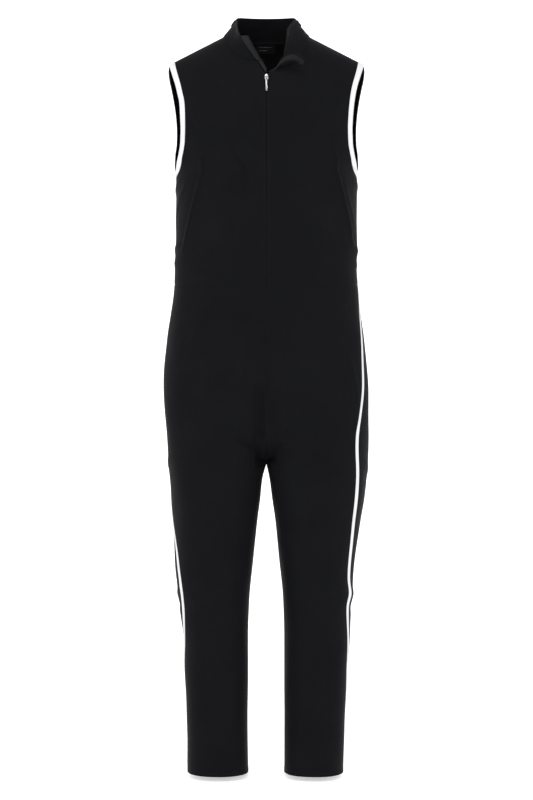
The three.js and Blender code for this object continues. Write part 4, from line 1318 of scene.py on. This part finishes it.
# Geometry Nodes: one small solid repeated along lines that lie on the cloth
def repeatTree(name, isTooth):
    tree = bpy.data.node_groups.new(name, "GeometryNodeTree")
    inputs = [("Geometry", "NodeSocketGeometry"), ("Pitch", "NodeSocketFloat"),
              ("Length", "NodeSocketFloat"), ("Width", "NodeSocketFloat"),
              ("Height", "NodeSocketFloat"), ("Material", "NodeSocketMaterial")]
    for title, kind in inputs:
        tree.interface.new_socket(name=title, in_out="INPUT", socket_type=kind)
    tree.interface.new_socket(name="Geometry", in_out="OUTPUT", socket_type="NodeSocketGeometry")
    inner, outer = tree.nodes.new("NodeGroupInput"), tree.nodes.new("NodeGroupOutput")
    wires = tree.links
    toCurve = tree.nodes.new("GeometryNodeMeshToCurve")
    wires.new(inner.outputs["Geometry"], toCurve.inputs["Mesh"])
    resample = tree.nodes.new("GeometryNodeResampleCurve")
    resample.mode = "LENGTH"
    wires.new(toCurve.outputs["Curve"], resample.inputs["Curve"])
    wires.new(inner.outputs["Pitch"], resample.inputs["Length"])
    if isTooth:
        solid = tree.nodes.new("GeometryNodeMeshCube")
        solid.inputs["Size"].default_value = (1, 1, 1)
    else:
        solid = tree.nodes.new("GeometryNodeMeshUVSphere")
        solid.inputs["Segments"].default_value = 6
        solid.inputs["Rings"].default_value = 4
        solid.inputs["Radius"].default_value = 0.5
    tangent = tree.nodes.new("GeometryNodeInputTangent")
    alongLine = tree.nodes.new("FunctionNodeAlignRotationToVector")
    alongLine.axis = "X"
    wires.new(tangent.outputs["Tangent"], alongLine.inputs["Vector"])
    away = tree.nodes.new("GeometryNodeInputNamedAttribute")
    away.data_type = "FLOAT_VECTOR"
    away.inputs["Name"].default_value = "away"
    outwards = tree.nodes.new("FunctionNodeAlignRotationToVector")
    outwards.axis = "Z"
    outwards.pivot_axis = "X"
    wires.new(alongLine.outputs["Rotation"], outwards.inputs["Rotation"])
    wires.new(away.outputs["Attribute"], outwards.inputs["Vector"])
    size = tree.nodes.new("ShaderNodeCombineXYZ")
    for socket, title in zip(size.inputs, ("Length", "Width", "Height")):
        wires.new(inner.outputs[title], socket)
    instance = tree.nodes.new("GeometryNodeInstanceOnPoints")
    wires.new(resample.outputs["Curve"], instance.inputs["Points"])
    wires.new(solid.outputs["Mesh"], instance.inputs["Instance"])
    wires.new(outwards.outputs["Rotation"], instance.inputs["Rotation"])
    wires.new(size.outputs["Vector"], instance.inputs["Scale"])
    realize = tree.nodes.new("GeometryNodeRealizeInstances")
    wires.new(instance.outputs["Instances"], realize.inputs["Geometry"])
    setMaterial = tree.nodes.new("GeometryNodeSetMaterial")
    wires.new(realize.outputs["Geometry"], setMaterial.inputs["Geometry"])
    wires.new(inner.outputs["Material"], setMaterial.inputs["Material"])
    wires.new(setMaterial.outputs["Geometry"], outer.inputs["Geometry"])
    return tree


stitchTree = repeatTree("stitchRun", False)
toothTree = repeatTree("toothRun", True)


def repeatAlong(name, runs, tree, sizes, material):
    # runs are pairs of points and outward directions, in millimetres
    points, edges, away = [], [], []
    for line, normals in runs:
        first = len(points)
        points.extend((np.asarray(line) * mm).tolist())
        away.extend(np.asarray(normals).tolist())
        edges.extend((first + i, first + i + 1) for i in range(len(line) - 1))
    mesh = bpy.data.meshes.new(name)
    mesh.from_pydata(points, edges, [])
    attribute = mesh.attributes.new("away", "FLOAT_VECTOR", "POINT")
    attribute.data.foreach_set("vector", np.asarray(away, float).ravel())
    thing = bpy.data.objects.new(name, mesh)
    bpy.context.scene.collection.objects.link(thing)
    modifier = thing.modifiers.new("repeat", "NODES")
    modifier.node_group = tree
    values = {title.capitalize(): sizes[title] * mm
              for title in ("pitch", "length", "width", "height")}
    values["Material"] = material
    for item in tree.interface.items_tree:
        if item.item_type == "SOCKET" and item.in_out == "INPUT" and item.name in values:
            modifier[item.identifier] = values[item.name]
    applyModifiers(thing, name)
    return thing


stitching = {"pitch": 2.9, "length": 2.3, "width": 0.45, "height": 0.32, "proud": 0.05}


def linesAt(grid, normals, distance, outer, axis=1, fromEnd=False):
    # A line on the grid at a distance from one of its edges, and just off the cloth
    way = lengths(grid, axis)[1 if fromEnd else 0]
    if axis == 0:
        way, grid, normals = way.T, grid.transpose(1, 0, 2), normals.transpose(1, 0, 2)
    line, away = [], []
    for d, g, n in zip(way, grid, normals):
        if fromEnd:
            d, g, n = d[::-1], g[::-1], n[::-1]
        if d[-1] < distance:
            continue
        line.append([np.interp(distance, d, g[:, k]) for k in range(3)])
        away.append([np.interp(distance, d, n[:, k]) for k in range(3)])
    line, away = np.array(line), np.array(away)
    away /= np.linalg.norm(away, axis=-1, keepdims=True)
    return line + away * outer, away


def buildStitches():
    black, white = [], []
    proud = stitching["proud"]
    for side in (rightSide, leftSide):
        name = side["name"]
        for part in ("bodice", "leg"):
            grid, normals = stripeGrids[f"stripe_{part}_{name}"]
            for fromEnd in (False, True):
                white.append(linesAt(grid, normals, stripe["sewn"], stripe["lift"], 1, fromEnd))
        grid, normals = tapeGrids[f"armhole_edge_{name}"]
        for fromEnd in (False, True):
            white.append(linesAt(grid, normals, armholeTape["sewn"], armholeTape["lift"],
                                 1, fromEnd))
        for face in ("front", "back"):
            grid = trouserGrids[f"leg_{face}_{name}"]
            sewn = trousers["hemDepth"] - trousers["stitchDrop"]
            black.append(linesAt(grid, gridNormals(grid, "leg", side), sewn, proud, 0, True))
        grid = bodiceGrids[f"bodice_front_{name}"]
        black.append(linesAt(grid, gridNormals(grid, "trunk"), bodice["sewn"], proud))
    normals = gridNormals(collarGrid, "collar")
    black.append(linesAt(collarGrid, normals, collar["sewn"], proud, 0, True))
    away = body["cloth"] + label["gap"] + label["wall"]
    for row, first, last in label["bars"]:
        line = labelGrid[row, first:last] + labelNormals[row, first:last] * away
        white.append((line, labelNormals[row, first:last]))
    piece = repeatAlong("white_sewing", white, stitchTree, stitching, whiteThread)
    place(piece, None, "white_tape")
    piece = repeatAlong("black_sewing", black, stitchTree, stitching, blackThread)
    place(piece, None, "cloth")


buildStitches()
print("stitches sewn")

teeth = {"pitch": 1.9, "length": 1.1, "width": 2.4, "height": 1.5, "beyond": 0.7, "sunk": 0.3,
         "skipBelow": 4, "skipAbove": 2}


def buildTeeth():
    runs = []
    for side in (rightSide, leftSide):
        line, normals, out = zipEdges[f"zip_side_{side['name']}"]
        outwards = out / np.linalg.norm(out, axis=-1, keepdims=True)
        line = line + outwards * teeth["beyond"] - normals * teeth["sunk"]
        toothed = slice(teeth["skipBelow"], -teeth["skipAbove"])
        runs.append((line[toothed], normals[toothed]))
    piece = repeatAlong("zip_teeth", runs, toothTree, teeth, zipTapeCloth)
    place(piece, None, "black_tape")


buildTeeth()
print("teeth set")

# Floor, backdrop and light
studio = {
    "floor": -1408,
    "halfWidth": 9000,
    "front": -9000,
    "wall": 9000,
    "bend": 2000,
    "bendSteps": 16,
    "height": 7000,
    "colour": (0.93, 0.93, 0.93),
    "glow": 0.5,
    "world": 0.95,
}
lamps = [
    # name, place, target, width, height, watts
    ("key", (-3500, -2700, 400), (0, 0, -600), 1200, 2600, 62),
    ("fill", (3600, -2500, 200), (0, 0, -700), 1200, 2600, 56),
    ("top", (-300, -2000, 2900), (0, 0, -100), 1500, 900, 45),
]


def stageMaterial():
    material = bpy.data.materials.new("paleFloor")
    material.use_nodes = True
    tree = material.node_tree
    shader = tree.nodes["Principled BSDF"]
    coordinates = tree.nodes.new("ShaderNodeTexCoord")
    noise = tree.nodes.new("ShaderNodeTexNoise")
    noise.inputs["Scale"].default_value = 3.0
    tree.links.new(coordinates.outputs["Object"], noise.inputs["Vector"])
    darker = [c * 0.99 for c in studio["colour"]]
    tree.links.new(toneRamp(tree, noise.outputs["Fac"], darker, studio["colour"]),
                   shader.inputs["Base Color"])
    shader.inputs["Roughness"].default_value = 0.9
    shader.inputs["Specular IOR Level"].default_value = 0.1
    shader.inputs["Emission Color"].default_value = (1, 1, 1, 1)
    shader.inputs["Emission Strength"].default_value = studio["glow"]
    return material


def buildStudio():
    floor, wall, bend = studio["floor"], studio["wall"], studio["bend"]
    profile = [(studio["front"], floor)]
    for turn in spread(studio["bendSteps"], 0, math.pi / 2):
        profile.append((wall - bend + bend * math.sin(turn), floor + bend - bend * math.cos(turn)))
    profile.append((wall, studio["height"]))
    points, faces = [], []
    for y, z in profile:
        points += [(-studio["halfWidth"], y, z), (studio["halfWidth"], y, z)]
    for i in range(len(profile) - 1):
        faces.append((2 * i, 2 * i + 1, 2 * i + 3, 2 * i + 2))
    meshObject("floor", points, faces, stageMaterial())
    scene = bpy.context.scene
    world = bpy.data.worlds.new("studio")
    scene.world = world
    world.use_nodes = True
    background = world.node_tree.nodes["Background"]
    background.inputs["Color"].default_value = (1, 1, 1, 1)
    background.inputs["Strength"].default_value = studio["world"]
    for name, start, target, width, height, watts in lamps:
        data = bpy.data.lights.new(name, "AREA")
        data.shape = "RECTANGLE"
        data.size, data.size_y = width * mm, height * mm
        data.energy = watts
        lamp = bpy.data.objects.new(name, data)
        scene.collection.objects.link(lamp)
        aim(lamp, start, target)
    scene.view_settings.view_transform = "Standard"


buildStudio()
print("studio lit")
